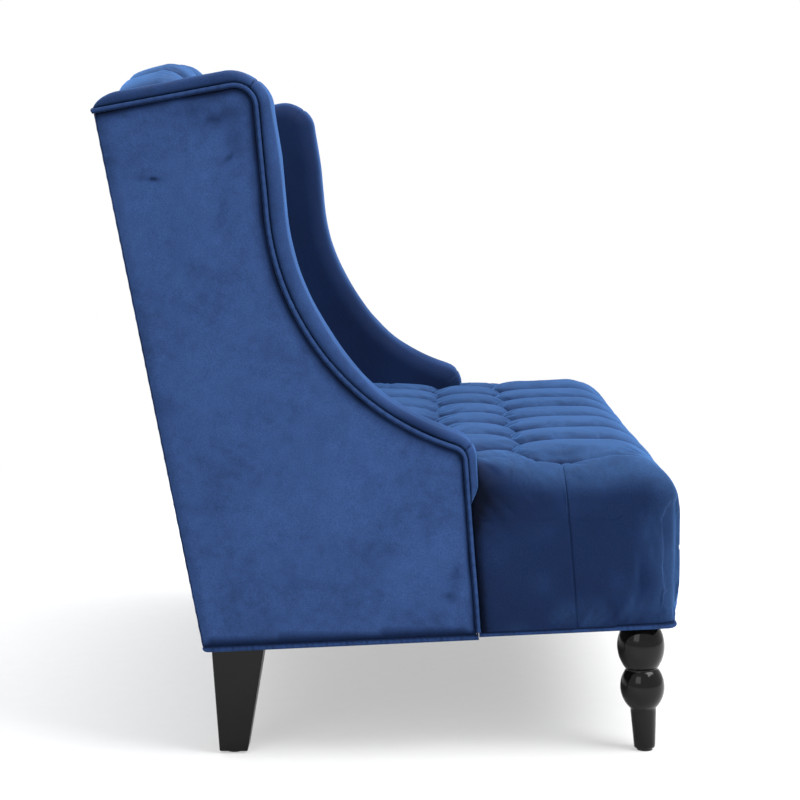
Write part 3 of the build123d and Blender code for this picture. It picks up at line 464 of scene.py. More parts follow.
def refineStations(points, normals, corners):
    length = np.concatenate([[0], np.cumsum(np.linalg.norm(np.diff(points, axis=0), axis=1))])
    sharp = [length[np.argmin(np.linalg.norm(points - corners[i], axis=1))] for i in (4, 2)]
    steps = stationSteps
    places, here = [0.0], 0.0
    while here < length[-1] - 0.6:
        gap = min(abs(here - place) for place in sharp)
        step = next((size for reach, size in (steps["close"], steps["near"]) if gap < reach), steps["plain"])
        if length[-1] - here < steps["rear"][0]:
            step = steps["rear"][1]
        here = min(here + step, length[-1])
        places.append(here)
    fine, turnedNormals = (np.stack([np.interp(places, length, values[:, i]) for i in (0, 1)], 1)
                           for values in (points, normals))
    return fine, turnedNormals / np.linalg.norm(turnedNormals, axis=1)[:, None], np.array(places)


stations, stationNormals, outlineCorners = outlineStations(2.0)
stations, stationNormals, stationLength = refineStations(stations, stationNormals, outlineCorners)
noseLength, wingLength = (stationLength[np.argmin(np.linalg.norm(stations - outlineCorners[i], axis=1))]
                          for i in (4, 2))


# arm and wing pads

padLook = {
    "inner": 490, "outer": 584, "lining": 505, "rear": -33.6, "base": 8,
    "front": 15, "arm": 17, "wing": 24, "top": 21,     # how far the border stands out
    "innerRound": (6, 31), "outerRound": (3, 13),      # faded out, and at full height
    "fadeLow": 350, "fadeHigh": 387, "tuckIn": 5.5, "flange": -2.0,
    "bellyShare": 0.28, "bellyLift": 2.8, "footLift": 3.4,     # where the outer side is fullest, and its foot
    "plump": 2.0, "plumpMiddle": 541, "plumpReach": 30,
    # painted shade: along the mitre seams, in the groove under the border, on the inner wings together with their pile
    # lying down, on the low arm, on the border towards the welt and along the top
    "mitreDepth": 1.5, "mitreWidth": 1.2, "mitreDip": 0.5, "mitreReach": 14.0, "mitreShade": 0.62,
    "grooveShade": 1.9, "innerNapAndShade": 1.2, "armShade": 0.8, "outerShade": 0.55, "topShade": 0.24,
    "rearFall": 38.0, "cornerLean": 5.5,       # the border falls to the welt at the rear, and leans in at the corner
    "faceCrown": 4.0, "faceReach": 90, "faceSpacing": 11.0, "liningSpacing": 24.0,
}


def borderHeight():
    look = padLook
    s, z = stationLength, stations[:, 1]
    rise = blend(look["front"], look["arm"], smoothStep(noseLength - 25, noseLength + 25, s))
    rise = rise + (look["wing"] - look["arm"]) * smoothStep(noseLength + 120, wingLength - 330, s)
    rise = rise + (look["top"] - look["wing"]) * smoothStep(wingLength - 20, wingLength + 20, s)
    rise = rise - look["cornerLean"] * smoothStep(wingLength - 110, wingLength - 20, s) \
        * smoothStep(wingLength + 30, wingLength, s)
    fade = np.where(s < noseLength, smoothStep(look["fadeLow"], look["fadeHigh"], z), 1.0)
    left = np.clip((s[-1] - s) / look["rearFall"], 0, 1)
    fade = fade * np.sqrt(1 - (1 - left) ** 2)
    return rise * fade, fade


def padSection(rise, fade):
    look = padLook
    inner, outer, flange = look["inner"], look["outer"], look["flange"]
    innerRound, outerRound = blend(*look["innerRound"], fade), blend(*look["outerRound"], fade)
    belly = np.minimum(look["bellyShare"] * rise + look["bellyLift"], rise)
    foot = np.minimum(belly - 1, look["footLift"])
    section = []                       # x, offset and weight of the ripples, for every station at once
    for t in np.linspace(0, 1, 11):
        a = t * pi / 2
        section.append((inner + innerRound * (1 - cos(a)), rise - innerRound * (1 - sin(a)), 0.3 + 0.7 * t))
    for t in np.linspace(0.125, 0.875, 7):
        section.append((blend(inner + innerRound, outer - outerRound, t), rise, 1.0))
    for t in np.linspace(0, 1, 9):
        a = t * pi / 2
        section.append((outer - outerRound * (1 - sin(a)), belly + (rise - belly) * cos(a), 1.0 - 0.7 * t))
    for t in np.linspace(0.2, 1, 5):
        section.append((outer - look["tuckIn"] * t * t, blend(belly, foot, sin(t * pi / 2)), 0.3 * (1 - t)))
    surface = len(section)
    section.append((outer - look["tuckIn"] + 0.8, np.minimum(foot - 1, 0.4), 0.0))
    section.append((outer - 0.4, -0.4, 0.0))           # a flange under the welt
    section += [(x, flange, 0.0) for x in (outer - 0.4, 560, 532, look["lining"])]
    return section, surface


def makeSidePad(side):
    look = padLook
    rise, fade = borderHeight()
    section, surface = padSection(rise, fade)
    rows, columns = len(stations), len(section)
    weights = np.array([weight for _, _, weight in section])
    grid = np.zeros((rows, columns, 3))
    for c, (x, offset, weight) in enumerate(section):
        plump = bell(x - look["plumpMiddle"], look["plumpReach"]) * weight * look["plump"] * fade
        grid[:, c, 0] = x
        grid[:, c, 1:] = stations + stationNormals * (offset + plump)[:, None]
    # mitre seams at the wing's top corner and at the arm's front corner
    mitre = np.zeros(rows)
    for length in (wingLength, noseLength):
        near = bell(stationLength - length, look["mitreWidth"], 1.4) * look["mitreDepth"]
        near += bell(stationLength - length, look["mitreReach"]) * look["mitreDip"]
        grid[:, :surface - 5, 1:] -= (stationNormals * near[:, None])[:, None]
        grid[:, surface - 9:surface - 1, 0] -= near[:, None] * 0.6
        # painted shade along the mitre seams
        mitre = np.maximum(mitre, look["mitreShade"] * bell(stationLength - length, 1.1))
    ripple = valueNoise(grid, 34, 5) * 0.5 + valueNoise(grid, 90, 6) * 0.9
    grid[:, :, 1:] += stationNormals[:, None] * (ripple * weights * fade[:, None])[:, :, None]
    points = grid.reshape(-1, 3)
    faces = [(r * columns + c, r * columns + c + 1, (r + 1) * columns + c + 1, (r + 1) * columns + c)
             for r in range(rows - 1) for c in range(columns - 1)]

    # the flat inner face and the lining behind it, down to the base and back to the frame
    lines = outlineLines([look["rear"], 0, 0, 0, 0, -look["base"]])
    rearStart, rearAlong = lines[0]
    topInner, baseFrontY = grid[-1, 0, 1:], grid[0, 0, 1]
    turns = [topInner, rearStart + rearAlong * (topInner[1] - rearStart[1]) / rearAlong[1],
             outlineCorner(lines[5], lines[0]), np.array([baseFrontY, baseZ(baseFrontY, look["base"])])]
    extra = []
    for a, b in zip(turns, turns[1:]):
        count = max(int(np.linalg.norm(b - a) / 12), 1)
        extra += [blend(a, b, k / count) for k in range(1, count + 1)]
    innerIds, liningIds = (list(range(c, rows * columns, columns)) for c in (0, columns - 1))
    innerIds += range(len(points), len(points) + len(extra))
    liningIds += range(len(points) + len(extra), len(points) + 2 * len(extra))
    points = np.vstack([points] + [[(look[face], y, z) for y, z in extra] for face in ("inner", "lining")])
    for k in range(rows - 1, len(innerIds)):
        following = (k + 1) % len(innerIds)
        faces.append((innerIds[following], liningIds[following], liningIds[k], innerIds[k]))
    faces.append(tuple(range(columns)))                     # front end of the border
    faces.append(tuple(reversed(range((rows - 1) * columns, rows * columns))))
    for face, column, ids in (("inner", 0, innerIds), ("lining", -1, liningIds)):
        loop, spacing = np.vstack([grid[:, column, 1:], extra]), look[
            "faceSpacing" if face == "inner" else "liningSpacing"]
        flat, triangles, origin = fillOutline(loop, spacing, spacing * 0.55)
        known, fresh = {}, []
        for i, source in enumerate(origin):
            rim = [s for s in source if s < len(loop)]
            known[i] = ids[rim[0]] if rim else len(points) + len(fresh)
            if not rim:
                fresh.append((look[face], *flat[i]))
        fresh = np.array(fresh)
        if face == "inner":
            # the inner face is a little full, most of all in the middle of the wing
            reach = nearestPoint(fresh[:, 1:], loop[::3])
            fresh[:, 0] -= look["faceCrown"] * smoothStep(0, look["faceReach"], reach) \
                + valueNoise(fresh, 70, 9) * 0.8 * smoothStep(0, 30, reach)
        points = np.vstack([points, fresh])
        for triangle in triangles:
            ring = tuple(known[i] for i in triangle)
            faces.append(ring if face == "lining" else ring[::-1])

    # the inner wings are dark, partly as pile lying down and partly as painted shade, and the borders catch the light
    # except where painted shade darkens them towards the welt, in the groove, at the mitres and on the low arm
    nap = look["innerNapAndShade"] * smoothStep(look["inner"] + 30, look["inner"] + 8, points[:, 0])
    shade = np.zeros((rows, columns))
    shade[:, surface - 12:surface - 1] = look["outerShade"] * np.linspace(0, 1, 11) ** 1.5
    shade += look["armShade"] * bell(stationLength - noseLength - 66, 52)[:, None]
    shade += look["topShade"] * smoothStep(wingLength + 4, wingLength + 40, stationLength)[:, None]
    shade *= (stationLength > noseLength)[:, None]
    groove = np.zeros((rows, columns))
    groove[:, surface - 2:surface + 3] = (0.5, 1.0, 1.0, 1.0, 1.0)
    groove[:, :surface - 1] = np.maximum(groove[:, :surface - 1], mitre[:, None])
    border = np.maximum(shade, look["grooveShade"] * groove).ravel()
    nap[:rows * columns] = np.maximum(nap[:rows * columns], border)
    nap = np.clip(nap + valueNoise(points, 60, 15) * 0.12 * (nap > 0.05), 0, 2)
    if side < 0:
        points, faces = mirrored(points, faces)
    return newPiece(sided("sidePad", side), points, faces, padVelvet, nap)


for side in (1, -1):
    makeSidePad(side)
print("settee: arm and wing pads made")


# outside panels

panelLook = {
    "inner": 584.2, "outer": 587.0, "inset": 3.0, "crown": 2.4, "wave": 1.0, "rear": -3.2, "base": -8.2,
    "rim": 0.8, "pucker": 0.25, "ringDepths": (1.6, 3.4, 5.6, 8.4), "spacing": 7.0,
    # dark along the welted edge, partly crushed pile and partly painted shade, and painted shade above the base welt
    "edgeDip": 1.9, "edgeReach": 7.0, "edgeShade": 1.75, "edgeShadeReach": 7.5, "frontShadeShare": 0.55,
    "footShade": 1.4, "footShadeReach": 3.0,
    # darker marks: y, z, half length, half height, turn in degrees, strength
    "marks": ((322, 812, 15, 3.2, 2, 0.85), (217, 840, 8, 3.6, -40, 0.9), (212, 846, 4, 6, 0, 0.5),
              (228, 896, 32, 13, -12, 0.62), (204, 868, 14, 24, 0, 0.5), (262, 905, 36, 9, -10, 0.5),
              (226, 768, 9, 26, 4, 0.3), (-93, 262, 8, 20, 4, 0.6), (-86, 232, 11, 5, 10, 0.6),
              (308, 500, 22, 12, 20, 0.2), (80, 470, 26, 14, -30, 0.2), (150, 640, 20, 40, 10, 0.16),
              (20, 300, 34, 12, 8, 0.16), (240, 360, 40, 16, -8, 0.18), (120, 250, 46, 10, 5, 0.18)),
}


def darkMarks(flat, marks, spots):
    nap = np.zeros(len(flat))
    for y, z, halfLength, halfHeight, turn, strength in marks:
        away, beside = turned((flat - (y, z)).T, -radians(turn))
        near = np.exp(-((away / halfLength) ** 2 + (beside / halfHeight) ** 2))
        nap = np.maximum(nap, strength * near * (1 + 0.6 * valueNoise(spots, 11, 19)))
    return nap


def otherSideMarks(marks):
    return [(y - 30, z * 0.86 + 60, long_, high, -turn, strength * 0.8)
            for y, z, long_, high, turn, strength in marks]


def makeOutsidePanel(side):
    look = panelLook
    edge = stations - stationNormals * look["inset"]
    lines = outlineLines([look["rear"], -look["inset"], 0, 0, -look["inset"], look["base"]])
    topRear, baseRear, baseFront = (outlineCorner(lines[i], lines[j]) for i, j in ((0, 1), (5, 0), (4, 5)))
    keep = edge[:, 1] > baseFront[1] + 3
    extra = []
    for a, b in ((topRear, baseRear), (baseRear, baseFront)):
        count = int(np.linalg.norm(b - a) / look["spacing"])
        extra += [blend(a, b, k / count) for k in range(count)]
    loop = np.vstack([edge[keep][:-1], extra, baseFront])
    # finer rows beside the welted edge and over the sharpest marks
    fine = []
    for depth in look["ringDepths"]:
        row = stations[keep] - stationNormals[keep] * (look["inset"] + depth)
        fine.append(row[nearestPoint(row, (topRear, baseFront)) > depth + 3])
    for y, z, halfLength, halfHeight, turn, _ in look["marks"][:3]:
        a, b = np.meshgrid(np.linspace(-1.6, 1.6, 11) * halfLength, np.linspace(-1.6, 1.6, 7) * halfHeight)
        fine.append((y, z) + turned((a.ravel(), b.ravel()), radians(turn)).T)
    flat, faces, _ = fillOutline(loop, look["spacing"], 12.5, np.vstack(fine))
    spots = np.column_stack([np.zeros(len(flat)), flat])
    reach = distanceTo(flat, np.vstack([loop, loop[:1]]))
    arm = distanceTo(flat, edge[keep])                   # distance from the welted edge alone
    upper = distanceTo(flat, edge[stationLength > noseLength - 10])      # and from its part above the nose
    lift = look["crown"] * smoothStep(0, 110, reach) - look["rim"] * (1 - smoothStep(0, 5, reach))
    lift -= look["edgeDip"] * bell(arm, look["edgeReach"], 1)
    lift += (valueNoise(spots, 120, 11) * look["wave"] + valueNoise(spots, 45, 12) * 0.35) * smoothStep(2, 40, reach)
    # small puckers where the cover is pulled over the edge
    lift += valueNoise(spots, 14, 13) * look["pucker"] * bell(reach, 12, 1) * smoothStep(0, 4, reach)
    points, closed = closeShell(np.column_stack([look["outer"] + lift, flat]),
                                np.column_stack([np.full(len(flat), look["inner"]), flat]), faces)
    # dark along the welted edge, partly crushed pile and partly painted shade, and painted shade above the base welt
    uneven = 1 + 0.3 * valueNoise(spots, 48, 17) + 0.15 * valueNoise(spots, 18, 18)
    nap = look["edgeShade"] * uneven * np.maximum(bell(arm, look["frontShadeShare"] * look["edgeShadeReach"], 1.5),
                                                bell(upper, look["edgeShadeReach"], 1.5))
    foot = np.maximum(flat[:, 1] - baseZ(flat[:, 0], -look["base"]), 0)
    nap = np.maximum(nap, look["footShade"] * bell(foot, look["footShadeReach"], 1))
    marks = look["marks"] if side < 0 else otherSideMarks(look["marks"])
    nap = np.clip(np.maximum(nap, darkMarks(flat, marks, spots)), 0, 2)
    if side < 0:
        points, closed = mirrored(points, closed)
    return newPiece(sided("outsidePanel", side), points, closed, panelVelvet, np.tile(nap, 2))


for side in (1, -1):
    makeOutsidePanel(side)
print("settee: outside panels made")


# welts, made by a node tree along each route

weltLook = {
    "radius": 3.5, "backRadius": 3.4, "baseRadius": 4.0, "x": 586.4, "wander": 0.35, "ringSpacing": 0.004,
    "sides": 14, "sideShade": 1.35, "crestEdge": 0.93, "crestFoot": 0.35,     # painted shade down both sides of the crest
}
baseWeltLook = {      # both start beside the arm's front and run round their corners to the middle
    "bodyWelt": {"halfX": 585.2, "start": 0.5, "first": 10, "far": 256.8, "round": 7.0, "gap": 10,
                 "sideSteps": 40, "roundSteps": 8},
    "frontWelt": {"halfX": 567.6, "start": -0.8, "first": -8.8, "far": -403.0, "round": 12.0, "gap": 8,
                  "sideSteps": 36, "roundSteps": 9},
}


def makeWeltTree():
    tree = bpy.data.node_groups.new("coveredCord", "GeometryNodeTree")
    kinds = {"Geometry": "Geometry", "Cord Radius": "Float", "Ring Spacing": "Float", "Sides": "Int",
             "Finish": "Material"}
    sockets = {label: tree.interface.new_socket(label, in_out="INPUT", socket_type="NodeSocket" + kind).identifier
               for label, kind in kinds.items()}
    tree.interface.new_socket("Geometry", in_out="OUTPUT", socket_type="NodeSocketGeometry")
    given = addNode(tree, "NodeGroupInput").outputs
    path = addNode(tree, "GeometryNodeResampleCurve",
                   {"Curve": given["Geometry"], "Length": given["Ring Spacing"]}, mode="LENGTH")
    profile = addNode(tree, "GeometryNodeCurvePrimitiveCircle",
                      {"Radius": given["Cord Radius"], "Resolution": given["Sides"]})
    cord = addNode(tree, "GeometryNodeCurveToMesh",
                   {"Curve": path.outputs[0], "Profile Curve": profile.outputs[0], "Fill Caps": True})
    smooth = addNode(tree, "GeometryNodeSetShadeSmooth", {"Geometry": cord.outputs[0]})
    whole = addNode(tree, "GeometryNodeRealizeInstances", {"Geometry": smooth.outputs[0]})
    dressed = addNode(tree, "GeometryNodeSetMaterial", {"Geometry": whole.outputs[0], "Material": given["Finish"]})
    addNode(tree, "NodeGroupOutput", {0: dressed.outputs[0]})
    return tree, sockets


weltTree, weltSockets = makeWeltTree()


def makeWelt(name, route, radius, crest):
    look = weltLook
    places = toFrame(route)
    curve = bpy.data.curves.new(name + "Route", "CURVE")
    curve.dimensions = "3D"
    spline = curve.splines.new("POLY")
    spline.points.add(len(places) - 1)
    spline.points.foreach_set("co", np.column_stack([places, np.ones(len(places))]).ravel())
    carrier = addPiece(name + "Route", curve)
    modifier = carrier.modifiers.new("cord", "NODES")
    modifier.node_group = weltTree
    for label, value in (("Cord Radius", radius * millimetre), ("Ring Spacing", look["ringSpacing"]),
                         ("Sides", look["sides"]), ("Finish", weltVelvet)):
        modifier[weltSockets[label]] = value
    mesh = evaluatedMesh(carrier)
    mesh.name = name
    bpy.data.objects.remove(carrier)
    piece = addPiece(name, mesh)
    fixNormals(piece)
    # the cord is bright along its crest and painted with shade down both its sides
    finder = KDTree(len(places))
    for i, place in enumerate(places):
        finder.insert(place, i)
    finder.balance()
    crest = np.broadcast_to(crest, places.shape)
    facing = []
    for vertex in mesh.vertices:
        place, i, _ = finder.find(vertex.co)
        away = np.array(vertex.co - place)
        facing.append(away @ crest[i] / max(np.linalg.norm(away) * np.linalg.norm(crest[i]), 1e-9))
    writeNapAndShade(mesh, look["sideShade"] * smoothStep(look["crestEdge"], look["crestFoot"], np.array(facing)))
    return declare(piece)


def sideways(route):
    along = np.gradient(route, axis=0)
    out = np.stack([along[:, 1], -along[:, 0], np.zeros(len(route))], 1)
    out *= np.sign((out * route).sum(1))[:, None]
    return out / np.maximum(np.linalg.norm(out, axis=1), 1e-9)[:, None] + (0, 0, -0.25)


def sideWeltRoute(side):
    keep = stations[:, 1] > baseZ(stations[:, 0], 9)
    path = stations[keep]
    path = np.vstack([path, path[-1] + turned((1, 0), -radians(sideOutline["topSlope"]))])
    route = np.column_stack([np.full(len(path), weltLook["x"]), path])
    for axis, seed in ((0, 21), (1, 22)):
        route[:, axis] += valueNoise(route, 60, seed) * weltLook["wander"]
    normals = np.vstack([stationNormals[keep], stationNormals[-1]])
    return route * (side, 1, 1), np.column_stack([np.ones(len(path)), 0.45 * normals]) * (side, 1, 1)


def baseWeltRoute(look):
    start, halfX, far, round_ = outlineCorners[5][0], look["halfX"], look["far"], look["round"]
    onward = np.sign(far - start)
    corner = far - onward * round_
    half = [(-halfX, start + look["start"])]
    half += [(-halfX, y) for y in np.linspace(start + look["first"], corner, look["sideSteps"])]
    half += [(-halfX + round_ * (1 - cos(a)), corner + onward * round_ * sin(a))
             for a in np.linspace(0, pi / 2, look["roundSteps"])]
    reach = halfX - round_ - look["gap"]
    route = half + [(x, far) for x in np.linspace(-reach, reach, 90)] + [(-x, y) for x, y in reversed(half)]
    return np.array([(x, y, baseZ(y, 4.0)) for x, y in route])


archLook = {"rise": 62, "halfWidth": 430, "blend": 3.0}
archLevel = (outlineCorners[1][1] - baseZ(sideOutline["backFoot"])) / cos(recline)


def archTop(x):
    look = archLook
    radius = (look["halfWidth"] ** 2 + look["rise"] ** 2) / (2 * look["rise"])
    above = look["rise"] - radius + np.sqrt(radius ** 2 - np.minimum(np.abs(x), 600.0) ** 2)
    return archLevel + 0.5 * (above + np.sqrt(above ** 2 + look["blend"] ** 2))


def backPlace(x, up, out):
    x, up, out = np.broadcast_arrays(np.asarray(x, float), up, out)
    y = sideOutline["backFoot"] + up * sin(recline) - out * cos(recline)
    z = baseZ(sideOutline["backFoot"]) + up * cos(recline) + out * sin(recline)
    return np.stack([x, y, z], -1)


for side in (1, -1):
    route, out = sideWeltRoute(side)
    makeWelt(sided("sideWelt", side), route, weltLook["radius"], out)
backWeltX = np.linspace(-584, 584, 240)
makeWelt("backWelt", backPlace(backWeltX, archTop(backWeltX) + 1.0, 0.6), weltLook["backRadius"], (0, 0.8, 0.6))
for name, look in baseWeltLook.items():
    route = baseWeltRoute(look)
    makeWelt(name, route, weltLook["baseRadius"], sideways(route))
print("settee: welts made")


# tufted covers, each worked out on a lattice: a grid of heights over its seams, held down along them

tuftLook = {
    "pitch": 150, "crown": 15.0, "fullness": 24.0, "pit": 15.5, "pitReach": 8.5,
    "seamLift": 0.6, "seamReach": 40.0, "foldDepth": 5.0, "foldReach": 30.0, "foldWidth": 4.4,
    "diagonalLift": 1.2, "strength": (0.85, 1.1), "startHeight": 6.0, "rounds": 420, "overshoot": 1.55,
}
columnStep = 3.75
diagonalSteps = 20          # lattice steps from one tuft to the next along a diagonal


def newLattice(halfX, halfPlace, rowPlace):
    shape = len(rowPlace), 2 * len(halfPlace) - 1
    return {"halfX": halfX, "columnPlace": np.concatenate([-halfPlace[:0:-1], halfPlace]), "rowPlace": rowPlace,
            "fixed": np.zeros(shape, bool), "heights": np.zeros(shape), "used": np.ones(shape, bool), "folds": {}}


def columnOf(lattice, x):
    middle = len(lattice["columnPlace"]) // 2
    return middle + int(np.sign(x)) * int(np.argmin(np.abs(lattice["halfX"] - abs(x))))


def seamHeight(reach):
    look = tuftLook
    return look["seamLift"] * (1 - np.exp(-reach / look["seamReach"])) - look["pit"] * np.exp(-reach / look["pitReach"])


def hold(lattice, row, column, height):
    fixed, heights = lattice["fixed"], lattice["heights"]
    if not fixed[row, column] or height < heights[row, column]:
        heights[row, column] = height
    fixed[row, column] = True


def holdAll(lattice, where, height):
    lattice["fixed"][where] = True
    lattice["heights"][where] = height


def sewSeam(lattice, x, first, last, tufted, lift=0.0):
    place = lattice["rowPlace"]
    for r in range(first, last):
        reach = min(abs(place[r] - place[row]) for row in tufted)
        hold(lattice, r, columnOf(lattice, x), seamHeight(reach) + lift)


def sewDiagonals(lattice, x, row, up, gap, widest):
    pitch = tuftLook["pitch"]
    length = np.hypot(pitch / 2, gap) / diagonalSteps
    for turn in (-1, 1):
        if abs(x + turn * pitch / 2) > widest:
            continue
        for i in range(diagonalSteps + 1):
            r, c = row + up * i, columnOf(lattice, x + turn * i * columnStep)
            if not lattice["used"][r, c]:
                continue
            hold(lattice, r, c, seamHeight(min(i, diagonalSteps - i) * length) + tuftLook["diagonalLift"])
            if i < diagonalSteps:         # the cell beside it is split along the seam
                lattice["folds"][(r if up > 0 else r - 1, c if turn > 0 else c - 1)] = turn * up


def latticeFaces(lattice):
    rows, columns = lattice["fixed"].shape
    ids = np.arange(rows * columns).reshape(rows, columns)
    faces = []
    for r in range(rows - 1):
        for c in range(columns - 1):
            if not lattice["used"][r:r + 2, c:c + 2].all():
                continue
            a, b, d, e = ids[r, c], ids[r, c + 1], ids[r + 1, c + 1], ids[r + 1, c]
            fold = lattice["folds"].get((r, c))
            if fold is None:
                faces.append([a, b, d, e])
            else:
                faces += [[a, b, d], [a, d, e]] if fold > 0 else [[a, b, e], [b, d, e]]
    return ids, faces


def spacingWeights(places):
    gaps = np.diff(places)
    gaps = np.concatenate([gaps[:1], gaps, gaps[-1:]])
    both = gaps[:-1] + gaps[1:]
    return 2 / (gaps[:-1] * both), 2 / (gaps[1:] * both)


def inflate(lattice, fullness, freeEdge=None):
    look = tuftLook
    fixed = lattice["fixed"]
    k = 1 / look["fullness"]
    push = look["crown"] * k * k / (1 - 1 / np.cosh(look["pitch"] / 2 * k))
    west, east = spacingWeights(lattice["columnPlace"])
    south, north = spacingWeights(lattice["rowPlace"])
    total = (west + east)[None, :] + (south + north)[:, None] + k * k
    h = np.where(fixed, lattice["heights"], look["startHeight"])
    odd = (np.indices(h.shape).sum(0) % 2).astype(bool)
    for _ in range(look["rounds"]):
        if freeEdge is not None:
            row, beyond = freeEdge
            h[row + 1, beyond] = h[row, beyond]
        for half in (odd, ~odd):
            p = np.pad(h, 1, mode="edge")
            fresh = (west[None, :] * p[1:-1, :-2] + east[None, :] * p[1:-1, 2:] + south[:, None] * p[:-2, 1:-1]
                     + north[:, None] * p[2:, 1:-1] + push * fullness) / total
            move = half & ~fixed
            h[move] += look["overshoot"] * (fresh[move] - h[move])
    return h


clothLook = {"pressure": 4.0, "shrink": -0.035, "frames": 20, "cap": 4.0, "stretch": 18.0, "shear": 6.0,
             "bend": 0.35, "mass": 0.3, "quality": 3}


def settleCloth(points, faces, held):
    look = clothLook
    mesh = bpy.data.meshes.new("loose")
    mesh.from_pydata((points * millimetre).tolist(), [], [tuple(f) for f in faces])
    sheet = addPiece("loose", mesh)
    group = sheet.vertex_groups.new(name="sewn")
    group.add([int(i) for i in np.nonzero(held)[0]], 1.0, "REPLACE")
    cloth = sheet.modifiers.new("cloth", "CLOTH")
    settings = cloth.settings
    settings.quality = look["quality"]
    settings.mass = look["mass"]
    settings.tension_stiffness = settings.compression_stiffness = look["stretch"]
    settings.shear_stiffness = look["shear"]
    settings.bending_stiffness = look["bend"]
    settings.use_pressure = True
    settings.uniform_pressure_force = look["pressure"]
    settings.shrink_min = look["shrink"]
    settings.vertex_group_mass = "sewn"
    settings.effector_weights.gravity = 0
    cloth.point_cache.frame_start, cloth.point_cache.frame_end = 1, look["frames"]
    for number in range(1, look["frames"] + 1):
        bpy.context.scene.frame_set(number)
    settled = evaluatedMesh(sheet)
    places = np.zeros(len(points) * 3, np.float32)
    settled.vertices.foreach_get("co", places)
    moved = places.reshape(-1, 3).astype(float) / millimetre - points
    reach = np.linalg.norm(moved, axis=1)
    moved *= (np.minimum(reach, look["cap"]) / np.maximum(reach, 1e-6))[:, None]
    bpy.data.objects.remove(sheet)
    bpy.data.meshes.remove(settled)
    bpy.data.meshes.remove(mesh)
    bpy.context.scene.frame_set(1)
    print("settee: cloth settled, moved up to", round(float(reach.max()), 1), "mm")
    return points + moved


# the tufts are painted with shade in their seams and pits, and a puff is darker down its right slope than down its
# left, partly as pile brushed across the seat and partly as painted shade
tuftShadeLook = {"seamShade": 1.5, "pitShade": 0.8, "plain": 0.22, "right": 0.62, "left": 0.22, "lengthwise": 0.3}


def tuftShade(lattice, height):
    look = tuftShadeLook
    nap = look["seamShade"] * smoothStep(3.4, 0.0, height) + look["pitShade"] * smoothStep(-2.0, -10.0, height)
    along, across = np.gradient(height, lattice["rowPlace"], lattice["columnPlace"])
    darkShare = look["plain"] + look["right"] * smoothStep(0.03, 0.45, across) \
        - look["left"] * smoothStep(0.02, 0.2, -across) + look["lengthwise"] * smoothStep(0.1, 0.6, np.abs(along))
    return np.maximum(nap, darkShare)


def tuftFolds(across, along, tufts, seed):
    look = tuftLook
    rng = np.random.default_rng(seed)
    depth = np.zeros(across.shape)
    for x, y, strength in tufts:
        count = rng.integers(5, 8)
        turn = rng.uniform(0, 2 * pi)
        for i in range(count):
            angle = turn + 2 * pi * i / count + rng.uniform(-0.25, 0.25)
            size = strength * rng.uniform(0.5, 1.0)
            reach = look["foldReach"] * rng.uniform(0.6, 1.15)
            away, beside = turned((across - x, along - y), -angle)
            outward = np.maximum(away, 0)
            grow = smoothStep(2, 9, away) * np.exp(-outward / reach * 1.6)
            depth -= size * look["foldDepth"] * grow * bell(beside, look["foldWidth"] + outward * 0.09)
    return depth


# seat

seatLook = {
    "front": -392, "top": 416, "round": 74, "side": 561, "sideRound": 46, "cornerRound": 13, "sideStart": 515,
    "rowFront": -207, "rowSecond": -166, "rowThird": -88, "rowRear": -59, "rear": 186.0, "rearRound": 9.0,
    "armInner": 489.4, "noseY": -123, "outerTuft": -245, "outerStrength": 0.75,
    "thickness": 19.0, "frontThickness": 14.0, "sideThickness": 9.0, "tuckedIn": -7.0, "rearHeight": -1.0,
    "creaseDepth": 3.5, "creasePit": 14.5, "creaseReach": 10,
    "creaseRise": ((13.0, 78), (9.5, 60)),          # how high and how far off it ends, to the front and to the arm
    "sideSeamDepth": 2.2, "sideSeamSlant": 21, "sideSeamWidth": 1.7,
    "bottomUp": 7.0, "bottomHeight": 13.5, "sideBottomHeight": 8.0, "bottomReach": 16, "cornerLift": 4.5,
    "underBorder": 12.5, "sideBulge": 1.5,
    "wrinkleWidth": 4.2,
    "wrinkles": (            # on the wide front's sides: y, z, turn in degrees, half length, depth
        (-252, 204, 52, 17, 3.0), (-243, 199, 46, 16, 2.8), (-233, 195, 44, 13, 2.2), (-262, 210, 62, 14, 2.0),
        (-281, 200, 122, 15, 2.8), (-289, 199, 132, 14, 2.4), (-299, 196, 142, 12, 2.0),
        (-345, 245, 96, 60, 2.4), (-362, 316, 76, 36, 2.6), (-372, 330, 72, 26, 2.2), (-334, 212, 116, 24, 2.2),
        (-352, 214, 108, 22, 1.8), (-146, 348, 50, 26, 3.0), (-136, 338, 46, 22, 2.6), (-160, 362, 42, 22, 2.4),
        (-152, 330, 52, 16, 2.0)),
}


